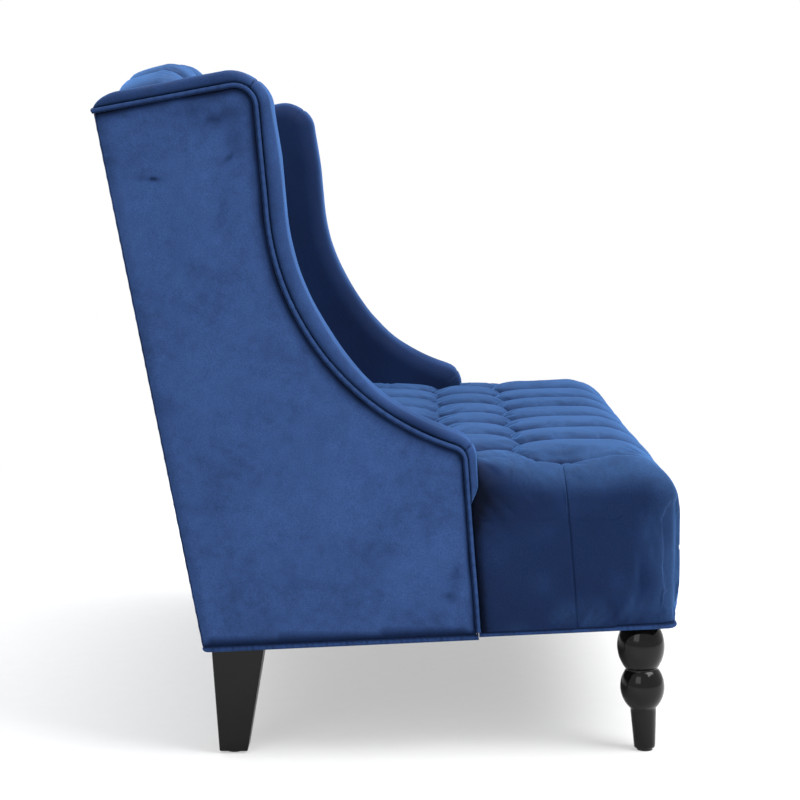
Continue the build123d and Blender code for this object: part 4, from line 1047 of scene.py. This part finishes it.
def seatPath():
    # the seat's rows from the bottom of its front, over the edge and back to the rear, with the tufted rows
    look = seatLook
    front, top, round_, rear, rearRound = (look[key] for key in ("front", "top", "round", "rear", "rearRound"))
    low, corner, outerTuft = baseZ(front, look["bottomUp"]), top - round_, look["outerTuft"]
    entries, marks = [], {}               # y, z and the normal's y, z
    for z in np.linspace(low, corner, 54)[:-1]:
        entries.append((front, z, -1.0, 0.0))
    marks["arcStart"] = len(entries)
    for a in np.linspace(0, pi / 2, 25)[:-1]:
        entries.append((front + round_ * (1 - cos(a)), corner + round_ * sin(a), -cos(a), sin(a)))
    marks["arcEnd"] = len(entries)
    tops = list(np.linspace(front + round_, outerTuft - 6, 23)[:-1])
    tops += [outerTuft + d for d in (-6, -4, -2.4, -1.2, 0, 1.2, 2.4, 4, 6)]
    tops += list(np.linspace(outerTuft + 6, look["rowFront"], 8)[1:-1])
    stretches = (("rowFront", "rowSecond", diagonalSteps + 1), ("rowSecond", "noseY", 10),
                 ("noseY", "rowThird", 8), ("rowThird", "rowRear", diagonalSteps + 1))
    for start, end, count in stretches:
        marks[start] = len(entries) + len(tops)
        tops += list(np.linspace(look[start], look[end], count)[:-1])
    marks["rowRear"] = len(entries) + len(tops)
    tops += list(np.linspace(look["rowRear"], rear - rearRound, 44))
    entries += [(y, top, 0.0, 1.0) for y in tops]
    for a in np.linspace(0, pi / 2, 7)[1:]:
        entries.append((rear - rearRound * (1 - sin(a)), top - rearRound * (1 - cos(a)), sin(a), cos(a)))
    entries.append((rear, top - rearRound - 8, 1.0, 0.0))
    path, normals = np.hsplit(np.array(entries), 2)
    lengths = np.concatenate([[0], np.cumsum(np.linalg.norm(np.diff(path, axis=0), axis=1))])
    return path, normals, lengths, marks


def sewSeat(lattice, path, marks):
    look = seatLook
    pitch = tuftLook["pitch"]
    rowA, rowB, rowC, rowD = (marks[key] for key in ("rowFront", "rowSecond", "rowThird", "rowRear"))
    odd = [(i - 3) * pitch for i in range(7)]                  # tufts on the middle lines
    even = [(i - 3.5) * pitch for i in range(8)]               # tufts between them
    rng = np.random.default_rng(4)
    tufts = []
    for x in even[1:-1]:                                       # up the front face and over the edge
        tufts.append((x, path[rowA, 0], rng.uniform(*tuftLook["strength"])))
        sewSeam(lattice, x, 0, rowA + 1, (rowA,))
    for x in odd:
        tufts += [(x, path[row, 0], rng.uniform(*tuftLook["strength"])) for row in (rowB, rowC)]
        sewSeam(lattice, x, rowB, rowC + 1, (rowB, rowC))
        sewDiagonals(lattice, x, rowB, -1, look["rowSecond"] - look["rowFront"], 530)
        sewDiagonals(lattice, x, rowC, 1, look["rowRear"] - look["rowThird"], 400)
    for x in even[1:-1]:
        tufts.append((x, path[rowD, 0], rng.uniform(*tuftLook["strength"])))
        sewSeam(lattice, x, rowD, len(path), (rowD,))
    # the outermost tufts sit on the rounded edge, with a crease along it that fades both ways
    for x in (even[0], even[-1]):
        tufts.append((x, look["outerTuft"], look["outerStrength"]))
        for r in range(marks["arcEnd"] - 2, marks["noseY"] + 1):
            away = path[r, 0] - look["outerTuft"]
            height, end = look["creaseRise"][int(away > 0)]
            sunk = look["creaseDepth"] + look["creasePit"] * np.exp(-abs(away) / look["creaseReach"])
            hold(lattice, r, columnOf(lattice, x), height * smoothStep(8, end, abs(away)) - sunk)
    return tufts


def makeSeatCover():
    look = seatLook
    armInner, side, sideRound, sideStart = (look[key] for key in ("armInner", "side", "sideRound", "sideStart"))
    path, pathNormals, rowPlace, marks = seatPath()
    nose, arcStart, arcEnd = marks["noseY"], marks["arcStart"], marks["arcEnd"]
    flat = np.arange(0, armInner, columnStep)
    arms = len(flat)                                            # the column at the arm's inner face
    flat = np.concatenate([flat, [armInner], np.arange(arms * columnStep, sideStart + 0.01, columnStep)])
    inner = len(flat)
    fillet = np.linspace(0, pi / 2, 23)[1:]
    insets = np.linspace(sideRound, look["round"], 10)[1:]
    half = np.concatenate([flat, sideStart + sideRound * fillet,
                           sideStart + sideRound * pi / 2 + (insets - sideRound)])
    lattice = newLattice(np.concatenate([flat, sideStart + sideRound * np.sin(fillet)]), half, rowPlace)
    rows, columns = lattice["fixed"].shape
    index = np.abs(np.arange(columns) - columns // 2)
    sign = np.sign(np.arange(columns) - columns // 2)
    lattice["used"][np.ix_(path[:, 0] > look["noseY"] + 1e-6, index > arms)] = False
    tufts = sewSeat(lattice, path, marks)
    # tucked in beside the arms and against the back
    holdAll(lattice, np.ix_(path[:, 0] > look["noseY"], index >= arms), look["tuckedIn"])
    holdAll(lattice, np.s_[-2:], look["rearHeight"])
    columnPlace = lattice["columnPlace"]
    spots = np.stack(np.broadcast_arrays(columnPlace[None, :], rowPlace[:, None], 0.0), -1)
    fullness = 1.0 + 0.13 * valueNoise(spots, 95, 31)
    fullness[:, index >= inner] *= 0.9
    h = inflate(lattice, fullness, (nose, index > arms))

    # pulled in to the welt along the bottom
    low = bell(rowPlace - rowPlace[0], look["bottomReach"])[:, None]
    foot = blend(look["bottomHeight"], look["sideBottomHeight"], smoothStep(inner, inner + 22, index))
    h = blend(h, foot[None, :], low)
    # the cover stands out a little where the front, the side and the top meet
    turn = blend(rowPlace[arcStart], rowPlace[arcEnd], 0.3)
    h = h + look["cornerLift"] * bell(rowPlace - turn, 17)[:, None] * bell(index - inner - 9, 7.0)
    across, along = np.broadcast_arrays(columnPlace[None, :], path[:, :1])
    onTop = smoothStep(arcEnd - 12, arcEnd + 4, np.arange(rows))[:, None]
    h = h + tuftFolds(across, along, tufts, 8) * onTop
    h = h + valueNoise(spots, 40, 33) * 0.5 * smoothStep(2, 9, h)
    # the seam that runs down over the side from the outermost tuft
    seam = bell(path[:, :1] - look["outerTuft"], look["sideSeamWidth"]) * smoothStep(inner + 4, inner + 18, index)
    h = h - seam * look["sideSeamDepth"]

    # from heights to places: the side's round is small down the front and large along the top
    theta = np.zeros(columns)
    inset, baseX = np.zeros((rows, columns)), np.zeros((rows, columns))
    round_ = blend(look["cornerRound"], sideRound, smoothStep(arcStart + 4, arcEnd, np.arange(rows)))
    starts = side - round_
    for c, i in enumerate(index):
        if i < inner:
            share = max(flat[i] - armInner, 0) / (sideStart - armInner)
            baseX[:, c] = min(flat[i], armInner) + share * (starts - armInner)
        elif i < inner + len(fillet):
            theta[c] = fillet[i - inner]
            baseX[:, c] = starts + round_ * sin(theta[c])
            inset[:, c] = round_ * (1 - cos(theta[c]))
        else:
            theta[c] = pi / 2
            baseX[:, c] = side
            inset[:, c] = blend(round_, look["round"], (i - inner - len(fillet) + 1) / len(insets))
    base = np.dstack([baseX * sign, path[:, :1] - inset * pathNormals[:, :1],
                      path[:, 1:] - inset * pathNormals[:, 1:]])
    outward = np.dstack([np.broadcast_to(np.sin(theta) * sign, h.shape), np.cos(theta) * pathNormals[:, :1],
                         np.cos(theta) * pathNormals[:, 1:]])
    cover = base + outward * h[:, :, None]
    depth = np.tile(blend(look["thickness"], look["sideThickness"], smoothStep(0, pi / 2, theta)), (rows, 1))
    depth[:arcStart] = np.minimum(depth[:arcStart], look["frontThickness"])
    lining = base - outward * depth[:, :, None]
    points, back = list(cover.reshape(-1, 3)), list(lining.reshape(-1, 3))
    ids, faces = latticeFaces(lattice)
    # the flat of the side, behind and below the centre of the round
    for s, edge in ((-1, 0), (1, columns - 1)):
        top, front = cover[arcEnd:nose + 1, edge], cover[:arcStart + 1, edge]
        patch = np.zeros((len(front), len(top)), int)
        patch[:, 0] = ids[:arcStart + 1, edge]
        patch[-1, 1:] = ids[arcEnd + 1:nose + 1, edge]
        for i in range(len(front) - 1):
            for j in range(1, len(top)):
                patch[i, j] = len(points)
                points.append((top[j, 0] + front[i, 0] - top[0, 0], top[j, 1], front[i, 2]))
                back.append((s * (side - look["sideThickness"]), top[j, 1], front[i, 2]))
        for i, j in np.ndindex(len(front) - 1, len(top) - 1):
            quad = [patch[i, j], patch[i, j + 1], patch[i + 1, j + 1], patch[i + 1, j]]
            faces.append(quad if s > 0 else quad[::-1])

    points, back = np.array(points), np.array(back)
    held = np.zeros(len(points), bool)
    held[:rows * columns] = lattice["fixed"].ravel()
    held[:2 * columns] = True
    held[np.bincount(np.concatenate([np.unique(f) for f in faces]), minlength=len(points)) == 0] = True
    held |= (np.abs(points[:, 1] - path[nose, 0]) < 1e-6) & (np.abs(points[:, 0]) > armInner)
    points = settleCloth(points, faces, held)
    finishSeatSide(points)
    finishSeatSide(back, False)
    nap = earNapAndShade(points)
    # painted shade in the seat's seams and pits and down the puffs' slopes
    sunk = np.zeros(len(points))
    sunk[:rows * columns] = tuftShade(lattice, h).ravel()
    sunk *= 1 - 0.45 * smoothStep(492, 512, np.abs(points[:, 0]))      # the outer tufts lie in open light
    nap = np.clip(np.maximum(nap, sunk) + valueNoise(points, 36, 39) * 0.1 * (nap > 0.1), 0, 2)
    whole, closed = closeShell(points, back, faces)
    return newPiece("seatCover", whole, closed, seatVelvet, np.tile(nap, 2))


def onEar(points):
    return np.abs(points[:, 0]) > seatLook["armInner"] + 1      # on the wide front, past the arm's inner face


def earNapAndShade(points):
    # the wide front's sides are dark, partly as pile lying down and partly as painted shade; painted lighter towards
    # the front corner and in the wrinkles, and painted darkest beside the arm, above the welt and along the top's near
    # edge
    x, y, z = np.abs(points[:, 0]), points[:, 1], points[:, 2]
    ear = onEar(points)
    nap = smoothStep(436, 366, z) * smoothStep(530, 556, x) * ear
    nap = nap * (1 - 0.25 * smoothStep(-350, -392, y) - 0.4 * smoothStep(-394, -403, y))
    nap -= 0.08 * wrinkleDepth(points) * ear * (nap > 0.3)
    gap = np.maximum(armFrontY(z) - y - 10, 0)
    nap += ear * (1.25 * bell(gap, 42, 1.5) * smoothStep(305, 372, z) * smoothStep(428, 408, z) + 0.8 * bell(gap, 4, 1))
    nap = np.maximum(nap, 1.7 * bell(np.maximum(z - baseZ(y, seatLook["bottomUp"]), 0), 3.0, 1))
    return np.maximum(nap, 0.4 * ear * smoothStep(498, 530, x) * smoothStep(-380, -330, y))


def wrinkleDepth(points):
    total = np.zeros(len(points))
    for y, z, turn, length, depth in seatLook["wrinkles"]:
        away, beside = turned((points[:, 1] - y, points[:, 2] - z), -radians(turn))
        total += depth * bell(away, length) * bell(beside, seatLook["wrinkleWidth"])
    return total


def finishSeatSide(points, outer=True):
    look = seatLook
    ear = onEar(points)
    drop = np.clip((look["top"] - points[:, 2]) / (look["top"] - 190), 0, 1)
    onSide = smoothStep(545, 560, np.abs(points[:, 0]))
    # the seam leans forward on its way down
    pull = bell(points[:, 1] - look["outerTuft"], 45, 1)
    points[:, 1] -= ear * look["sideSeamSlant"] * drop * pull * onSide
    # the rear edge follows the arm's front, and runs in under its border
    edge = armFrontY(points[:, 2]) - 0.8
    edge -= look["underBorder"] * smoothStep(padLook["fadeLow"] + 4, padLook["fadeHigh"], points[:, 2])
    weight = smoothStep(look["noseY"] - 50, look["noseY"], points[:, 1])
    points[:, 1] += (ear & (points[:, 1] <= look["noseY"] + 1)) * weight * (edge - look["noseY"])
    # the bottom edge lies along the raked base
    low = baseZ(look["front"], look["bottomUp"])
    share = np.clip(1 - (points[:, 2] - low) / 110, 0, 1)
    points[:, 2] += share * (baseZ(points[:, 1], look["bottomUp"]) - low)
    if outer:
        outward = np.sign(points[:, 0]) * onSide
        points[:, 0] -= outward * wrinkleDepth(points)
        bulge = look["sideBulge"] * np.sin(drop * pi)
        points[:, 0] += outward * (bulge + valueNoise(points, 55, 37) * 0.8)


seatCover = makeSeatCover()
print("settee: tufted seat made,", len(seatCover.data.polygons), "faces")


# back

backLook = {
    "low": 224.0, "seatUp": 282.7, "seamSeat": 126.0, "topUp": 806.0, "seamTop": 91.0,
    "rows": (420.0, 462.0, 560.0, 602.0), "crest": 12.0, "frontRound": 33.0, "rearRound": 14.0,
    "rearStart": 3.6, "half": 489.2, "thickness": 17.0, "topThickness": 13.0, "rearThickness": 3.0,
    "tuckUp": 248.0, "tuckHeight": -2.0, "sideHeight": -5.0, "rearHeight": -1.0,
    "lowRows": 36, "middleRows": 20, "upperRows": 36, "arcRows": 13, "flatRows": 9, "rearRows": 8,
}


def backProfile(columnPlace):
    # up, out and the normal's up and out in the back's plane, for every row and column, and the tufted rows
    look = backLook
    crest = archTop(columnPlace) + look["crest"]
    slope = (look["seamTop"] - look["seamSeat"]) / (look["topUp"] - look["seatUp"])
    lean = atan(-slope)
    first, second, third, fourth = look["rows"]
    ups, marks = [], []
    for start, end, count in ((look["low"], first, look["lowRows"]), (first, second, diagonalSteps + 1),
                              (second, third, look["middleRows"]), (third, fourth, diagonalSteps + 1)):
        ups += list(np.linspace(start, end, count)[:-1])
        marks.append(len(ups))
    round_, rearRound = look["frontRound"], look["rearRound"]
    centreUp = crest - round_            # the front round's centre lies below the crest and behind the front
    centreOut = look["seamSeat"] + (centreUp - look["seatUp"]) * slope - round_ / cos(lean)
    startUp = centreUp + round_ * sin(lean)
    ups += [blend(fourth, startUp, i / look["upperRows"]) for i in range(look["upperRows"])]
    profile = [(up, look["seamSeat"] + (up - look["seatUp"]) * slope, sin(lean), cos(lean)) for up in ups]
    for i in range(look["arcRows"]):
        a = blend(lean, pi / 2, i / look["arcRows"])
        profile.append((centreUp + round_ * sin(a), centreOut + round_ * cos(a), sin(a), cos(a)))
    rearStart = look["rearStart"] + rearRound
    for i in range(look["flatRows"]):
        profile.append((crest, blend(centreOut, rearStart, i / look["flatRows"]), 1.0, 0.0))
    for i in range(look["rearRows"] - 1):
        a = pi / 2 * i / (look["rearRows"] - 2)
        profile.append((crest - rearRound + rearRound * cos(a), rearStart - rearRound * sin(a), cos(a), -sin(a)))
    profile.append((crest - rearRound - 4, look["rearStart"], 0.0, -1.0))
    full = np.array([[np.broadcast_to(value, crest.shape) for value in entry] for entry in profile])
    return full.transpose(1, 0, 2), marks


def sewBack(lattice, marks):
    look = backLook
    pitch = tuftLook["pitch"]
    low, second, third, high = marks
    odd = [(i - 3) * pitch for i in range(7)]
    even = [(i - 2.5) * pitch for i in range(6)]
    rng = np.random.default_rng(14)
    tufts = []
    for x in even:
        tufts += [(x, look["rows"][i], rng.uniform(*tuftLook["strength"])) for i in (0, 3)]
        sewSeam(lattice, x, 0, low + 1, (low,))
        sewSeam(lattice, x, high, len(lattice["rowPlace"]), (high,), -1.2)
    for x in odd:
        tufts += [(x, look["rows"][i], rng.uniform(*tuftLook["strength"])) for i in (1, 2)]
        sewSeam(lattice, x, second, third + 1, (second, third))
        for row, up in ((second, -1), (third, 1)):
            sewDiagonals(lattice, x, row, up, look["rows"][1] - look["rows"][0], 400)
    return tufts


def makeBackCover():
    look = backLook
    flat = np.append(np.arange(0, look["half"], columnStep), look["half"])
    columnPlace = np.concatenate([-flat[:0:-1], flat])
    (up, out, normalUp, normalOut), marks = backProfile(columnPlace)
    middle = len(flat) - 1
    rowPlace = np.concatenate([[0], np.cumsum(np.hypot(np.diff(up[:, middle]), np.diff(out[:, middle])))])
    lattice = newLattice(flat, flat, rowPlace)
    tufts = sewBack(lattice, marks)
    holdAll(lattice, np.s_[:, [0, -1]], look["sideHeight"])
    holdAll(lattice, up[:, middle] < look["tuckUp"], look["tuckHeight"])
    holdAll(lattice, -1, look["rearHeight"])
    holdAll(lattice, -2, np.minimum(lattice["heights"][-2], 0.5))
    arcStart = marks[3] + look["upperRows"]
    spots = np.stack(np.broadcast_arrays(columnPlace[None, :], rowPlace[:, None], 40.0), -1)
    fullness = 1.0 + 0.12 * valueNoise(spots, 95, 41)
    fullness[arcStart - 6:] *= 0.85
    h = inflate(lattice, fullness)
    across = np.broadcast_to(columnPlace[None, :], h.shape)
    h = h + tuftFolds(across, up, tufts, 18)
    h = h + valueNoise(spots, 40, 43) * 0.5 * smoothStep(2, 9, h)
    thick = np.full(h.shape, look["thickness"])
    thick[arcStart + 4:] = look["topThickness"]
    thick[-3:] = look["rearThickness"]
    cover, lining = (backPlace(across, up + normalUp * lift, out + normalOut * lift) for lift in (h, -thick))
    _, faces = latticeFaces(lattice)
    held = lattice["fixed"].copy()
    held[arcStart + look["arcRows"]:] = True
    cover = settleCloth(cover.reshape(-1, 3), faces, held.ravel())
    whole, closed = closeShell(cover, lining.reshape(-1, 3), faces)
    # painted shade in the back's seams and pits and down the puffs' slopes
    nap = tuftShade(lattice, h).ravel()
    return newPiece("backCover", whole, closed, seatVelvet, np.tile(nap, 2))


backCover = makeBackCover()
print("settee: tufted back made,", len(backCover.data.polygons), "faces")


# outside back

outsideBackLook = {"half": 586.0, "low": 8.6, "underArch": 3.6, "crown": 3.0, "rim": 1.2, "wave": 1.2,
                   "thickness": 2.8, "edgeShade": 0.7}


def makeOutsideBack():
    look = outsideBackLook
    half, low = look["half"], look["low"]
    top = [(x, archTop(x) - look["underArch"]) for x in np.linspace(half, -half, 120)]
    edge = [(-half, up) for up in np.linspace(top[-1][1], low, 84)[1:]]
    base = [(x, low) for x in np.linspace(-half, half, 118)[1:]]
    otherEdge = [(half, up) for up in np.linspace(low, top[0][1], 84)[1:-1]]
    loop = np.array(top + edge + base + otherEdge)
    flat, faces, _ = fillOutline(loop, 11.0, 5.0)
    reach = nearestPoint(flat, loop)
    spots = np.column_stack([flat, np.zeros(len(flat))])
    lift = look["crown"] * smoothStep(0, 120, reach) - look["rim"] * (1 - smoothStep(0, 5, reach))
    lift += (valueNoise(spots, 150, 51) * look["wave"] + valueNoise(spots, 50, 52) * 0.4) * smoothStep(2, 40, reach)
    points, closed = closeShell(backPlace(*flat.T, -lift), backPlace(*flat.T, look["thickness"]), faces)
    # painted shade along the welted edges
    nap = np.clip(look["edgeShade"] * bell(reach, 8, 1.5) * (1 + 0.4 * valueNoise(spots, 40, 53)), 0, 1)
    return newPiece("outsideBack", points, closed, panelVelvet, np.tile(nap, 2))


makeOutsideBack()
print("settee: outside back made")


# legs

frontLegLook = {     # the turned parts as (radius, distance below the base)
    "x": 530, "y": -358, "topRadius": 24, "tenon": 5.8, "ball": (33.8, 33), "neck": (22.5, 64),
    "lowerBall": (31.5, 88), "taper": (18.7, 121), "footRadius": 15, "footUp": 3.2, "sides": 72,
}


def threePointArc(a, b, c, count):
    (ax, ay), (bx, by), (cx, cy) = a, b, c
    d = 2 * (ax * (by - cy) + bx * (cy - ay) + cx * (ay - by))
    ux = ((ax**2 + ay**2) * (by - cy) + (bx**2 + by**2) * (cy - ay) + (cx**2 + cy**2) * (ay - by)) / d
    uy = ((ax**2 + ay**2) * (cx - bx) + (bx**2 + by**2) * (ax - cx) + (cx**2 + cy**2) * (bx - ax)) / d
    radius = np.hypot(ax - ux, ay - uy)
    angles = np.linspace(atan2(ay - uy, ax - ux), atan2(cy - uy, cx - ux), count)
    return [(ux + radius * cos(t), uy + radius * sin(t)) for t in angles]


def makeFrontLeg(side):
    look = frontLegLook
    topZ = baseZ(look["y"])
    foot = -topZ / cos(baseRake) + look["footUp"]
    topRadius, footRadius, n = look["topRadius"], look["footRadius"], look["sides"]
    ball, neck, lowerBall, taper = ((look[key][0], -look[key][1]) for key in ("ball", "neck", "lowerBall", "taper"))
    profile = [(2, look["tenon"]), (topRadius - 1.5, look["tenon"]), (topRadius, look["tenon"] - 1.3)]
    profile += threePointArc((topRadius, 0), ball, neck, 34)[:-1]
    profile += [(neck[0] - 0.6, neck[1])]              # a narrow neck between the balls
    profile += threePointArc(neck, lowerBall, taper, 30)[1:]
    profile += [(blend(taper[0], footRadius, t), blend(taper[1], foot, t)) for t in np.linspace(0, 1, 12)[1:-1]]
    profile += [(footRadius, foot + 1.5), (footRadius - 1.4, foot), (2, foot)]
    sideways_, up = np.array([0, cos(baseRake), -sin(baseRake)]), np.array([0, sin(baseRake), cos(baseRake)])
    origin = np.array([look["x"], look["y"], topZ])
    points = np.array([origin + up * height + np.array([cos(a) * radius, 0, 0]) + sideways_ * sin(a) * radius
                       for radius, height in profile for a in 2 * pi * np.arange(n) / n])
    points[:, 2] = np.maximum(points[:, 2], 3.0)
    faces = [(r * n + k, r * n + (k + 1) % n, (r + 1) * n + (k + 1) % n, (r + 1) * n + k)
             for r in range(len(profile) - 1) for k in range(n)]
    faces += [tuple(range(n)), tuple(reversed(range(len(points) - n, len(points))))]
    if side < 0:
        points, faces = mirrored(points, faces)
    return newPiece(sided("frontLeg", side), points, faces, blackLacquer)


def softenEdges(piece, width, segments, angle):
    bevel = piece.modifiers.new("edges", "BEVEL")
    bevel.width = width * millimetre
    bevel.segments = segments
    bevel.limit_method = "ANGLE"
    bevel.angle_limit = radians(angle)
    mesh = evaluatedMesh(piece)
    mesh.name = piece.name
    piece.modifiers.clear()
    piece.data = mesh


def shadeByFaces(piece):
    smoothFaces(piece)
    piece.modifiers.new("shade", "WEIGHTED_NORMAL").keep_sharp = True


rearLegLook = {"x": 540, "y": 211, "top": 75, "foot": 40, "footY": 220, "footUp": 3.2, "topUp": 6.4, "round": 2.2,
               "levels": 9}


def makeRearLeg(side):
    look = rearLegLook
    name = sided("rearLeg", side)
    shape = bmesh.new()
    rings = []
    for t in np.linspace(0, 1, look["levels"]):
        size = blend(look["foot"], look["top"], t) / 2
        y, z = blend(look["footY"], look["y"], t), blend(look["footUp"], baseZ(look["y"], look["topUp"]), t)
        corners = [(side * (look["x"] + across * size), y + along * size, z - along * size * tan(baseRake) * t)
                   for across, along in ((-1, -1), (1, -1), (1, 1), (-1, 1))]
        rings.append([shape.verts.new(place) for place in toFrame(corners)])
    for low, high in zip(rings, rings[1:]):
        for k in range(4):
            shape.faces.new((low[k], low[(k + 1) % 4], high[(k + 1) % 4], high[k]))
    shape.faces.new(reversed(rings[0]))
    shape.faces.new(rings[-1])
    bmesh.ops.recalc_face_normals(shape, faces=shape.faces)
    mesh = bpy.data.meshes.new(name)
    shape.to_mesh(mesh)
    shape.free()
    mesh.materials.append(blackLacquer)
    piece = addPiece(name, mesh)
    softenEdges(piece, look["round"], 3, 40)
    shadeByFaces(piece)
    return declare(piece)


for side in (1, -1):
    makeFrontLeg(side)
    makeRearLeg(side)
print("settee: legs made")


# hidden soft pieces

def softCopy(name, node, material, round_):
    shape = bmesh.new()
    shape.from_mesh(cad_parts[node].data)
    bmesh.ops.remove_doubles(shape, verts=shape.verts, dist=1e-5)
    bmesh.ops.dissolve_limit(shape, angle_limit=radians(1.0), verts=shape.verts, edges=shape.edges)
    mesh = bpy.data.meshes.new(name)
    shape.to_mesh(mesh)
    shape.free()
    mesh.materials.clear()
    mesh.materials.append(material)
    piece = addPiece(name, mesh)
    if round_:
        softenEdges(piece, round_, 2, 50)
    shadeByFaces(piece)
    return declare(piece)


softCopy("seatFoam", "seat_foam", foamFill, 1.5)
softCopy("backFoam", "back_foam", foamFill, 1.5)
softCopy("seatInsulator", "seat_insulator", feltFill, 0.8)
softCopy("backWebbing", "back_webbing", webCloth, 0.3)
softCopy("seatTies", "seat_ties", webCloth, 0)
softCopy("dustCover", "dust_cover", dustCloth, 0)


def bothSides(*stems):
    return [stem + end for stem in stems for end in ("_left", "_right")]


finishes = {
    framePine: ["front_rail", "rear_rail", "seat_stretchers", "corner_blocks", "back_top_rail", "lumbar_rail",
                *bothSides("front_leg_block")],
    postWood: ["back_posts"],
    framePly: bothSides("side_frame_outer", "side_frame_inner", "side_spacers", "arm_base_rail", "seat_side_rail",
                        "ear_rail", "ear_back"),
    springWire: ["seat_springs", "spring_ties"],
    platedSteel: ["frame_screws", "spring_clips", "leg_bolts", "leg_nuts"],
    glidePlastic: ["foot_glides"],
}
for finish, names in finishes.items():
    for nodeName in names:
        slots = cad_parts[nodeName].data.materials
        if not len(slots):
            slots.append(finish)
        for i in range(len(slots)):
            slots[i] = finish
print("settee: frame pieces finished")


# floor, light and camera

floorLook = {"half": 14, "fadeStart": 1.0, "fadeEnd": 2.6, "leastGlow": 0.45}     # metres from the middle


def makeFloor():
    look = floorLook
    material, tree, shader, where = nodeMaterial("paleFloor")
    grain = noiseNode(tree, where, 30.0, 3.0, 0.5)
    plug(tree, shader, {"Base Color": rampNode(tree, grain, (0.3, (0.9, 0.905, 0.915)), (0.7, (0.93, 0.935, 0.94))),
                        "Roughness": 0.6, "Specular IOR Level": 0.25})
    # what the camera sees of the floor turns white away from the settee
    reach = addNode(tree, "ShaderNodeVectorMath", {0: where}, operation="LENGTH").outputs["Value"]
    fade = addNode(tree, "ShaderNodeMapRange", {"Value": reach, "From Min": look["fadeStart"],
                                                "From Max": look["fadeEnd"]}).outputs["Result"]
    seen = mathNode(tree, "MULTIPLY", mathNode(tree, "MAXIMUM", fade, look["leastGlow"]),
                    addNode(tree, "ShaderNodeLightPath").outputs["Is Camera Ray"])
    glow = addNode(tree, "ShaderNodeEmission", {"Color": (1, 1, 1)})
    mix = addNode(tree, "ShaderNodeMixShader", {0: seen, 1: shader.outputs[0], 2: glow.outputs[0]})
    output = next(node for node in tree.nodes if node.type == "OUTPUT_MATERIAL")
    plug(tree, output, {"Surface": mix.outputs[0]})
    mesh = bpy.data.meshes.new("floor")
    half = look["half"]
    mesh.from_pydata([(-half, -half, 0), (half, -half, 0), (half, half, 0), (-half, half, 0)], [], [(0, 1, 2, 3)])
    mesh.materials.append(material)
    addPiece("floor", mesh)


def addLamp(name, place, target, size, power):
    data = bpy.data.lights.new(name, "AREA")
    data.shape = "RECTANGLE"
    data.size, data.size_y = size
    data.energy = power
    lamp = addPiece(name, data)
    lamp.location = place
    lamp.rotation_euler = (Vector(target) - Vector(place)).to_track_quat("-Z", "Y").to_euler()


def makeWorld(strength):
    world = bpy.data.worlds.new("studio")
    bpy.context.scene.world = world
    world.use_nodes = True
    tree = world.node_tree
    tree.nodes.clear()
    light, white = (addNode(tree, "ShaderNodeBackground", {"Strength": power, "Color": (1, 1, 1)}).outputs[0]
                    for power in (strength, 1.0))
    rays = addNode(tree, "ShaderNodeLightPath").outputs
    seen = mathNode(tree, "MAXIMUM", rays["Is Camera Ray"], rays["Is Glossy Ray"])
    seen = mathNode(tree, "MAXIMUM", seen, rays["Is Transmission Ray"])
    mix = addNode(tree, "ShaderNodeMixShader", {0: seen, 1: light, 2: white})
    addNode(tree, "ShaderNodeOutputWorld", {"Surface": mix.outputs[0]})


# the camera's focal length and the way it is turned are in pixels of the picture
cameraLook = {"place": (-3.345, -0.052247, 0.800928), "focal": 2010.0, "imageSize": 800.0, "sensor": 36.0,
              "down": 213, "turn": 22, "farEnd": 60}


def makeCamera():
    look = cameraLook
    data = bpy.data.cameras.new("camera")
    data.sensor_width = look["sensor"]
    data.lens = look["sensor"] * look["focal"] / look["imageSize"]
    data.clip_end = look["farEnd"]
    camera = addPiece("camera", data)
    down = atan(look["down"] / look["focal"])
    turn = atan(look["turn"] / look["focal"] * cos(down))
    forward = Vector((cos(turn) * cos(down), sin(turn) * cos(down), -sin(down)))
    right = forward.cross(Vector((0, 0, 1))).normalized()
    axes = Matrix((right, right.cross(forward), -forward)).transposed().to_4x4()
    camera.matrix_world = Matrix.Translation(look["place"]) @ axes
    bpy.context.scene.camera = camera


makeFloor()
makeWorld(0.55)
addLamp("keyLamp", (-1.5, -2.2, 3.0), (0, 0, 0.5), (2.2, 1.8), 135)
addLamp("topLamp", (0.4, -0.2, 3.3), (0, 0, 0.4), (2.6, 2.2), 125)
addLamp("sideLamp", (-3.6, 1.4, 1.9), (0, 0, 0.55), (1.8, 1.8), 34)
makeCamera()
bpy.context.scene.view_settings.view_transform = "Standard"
print("settee: floor, light and camera set")
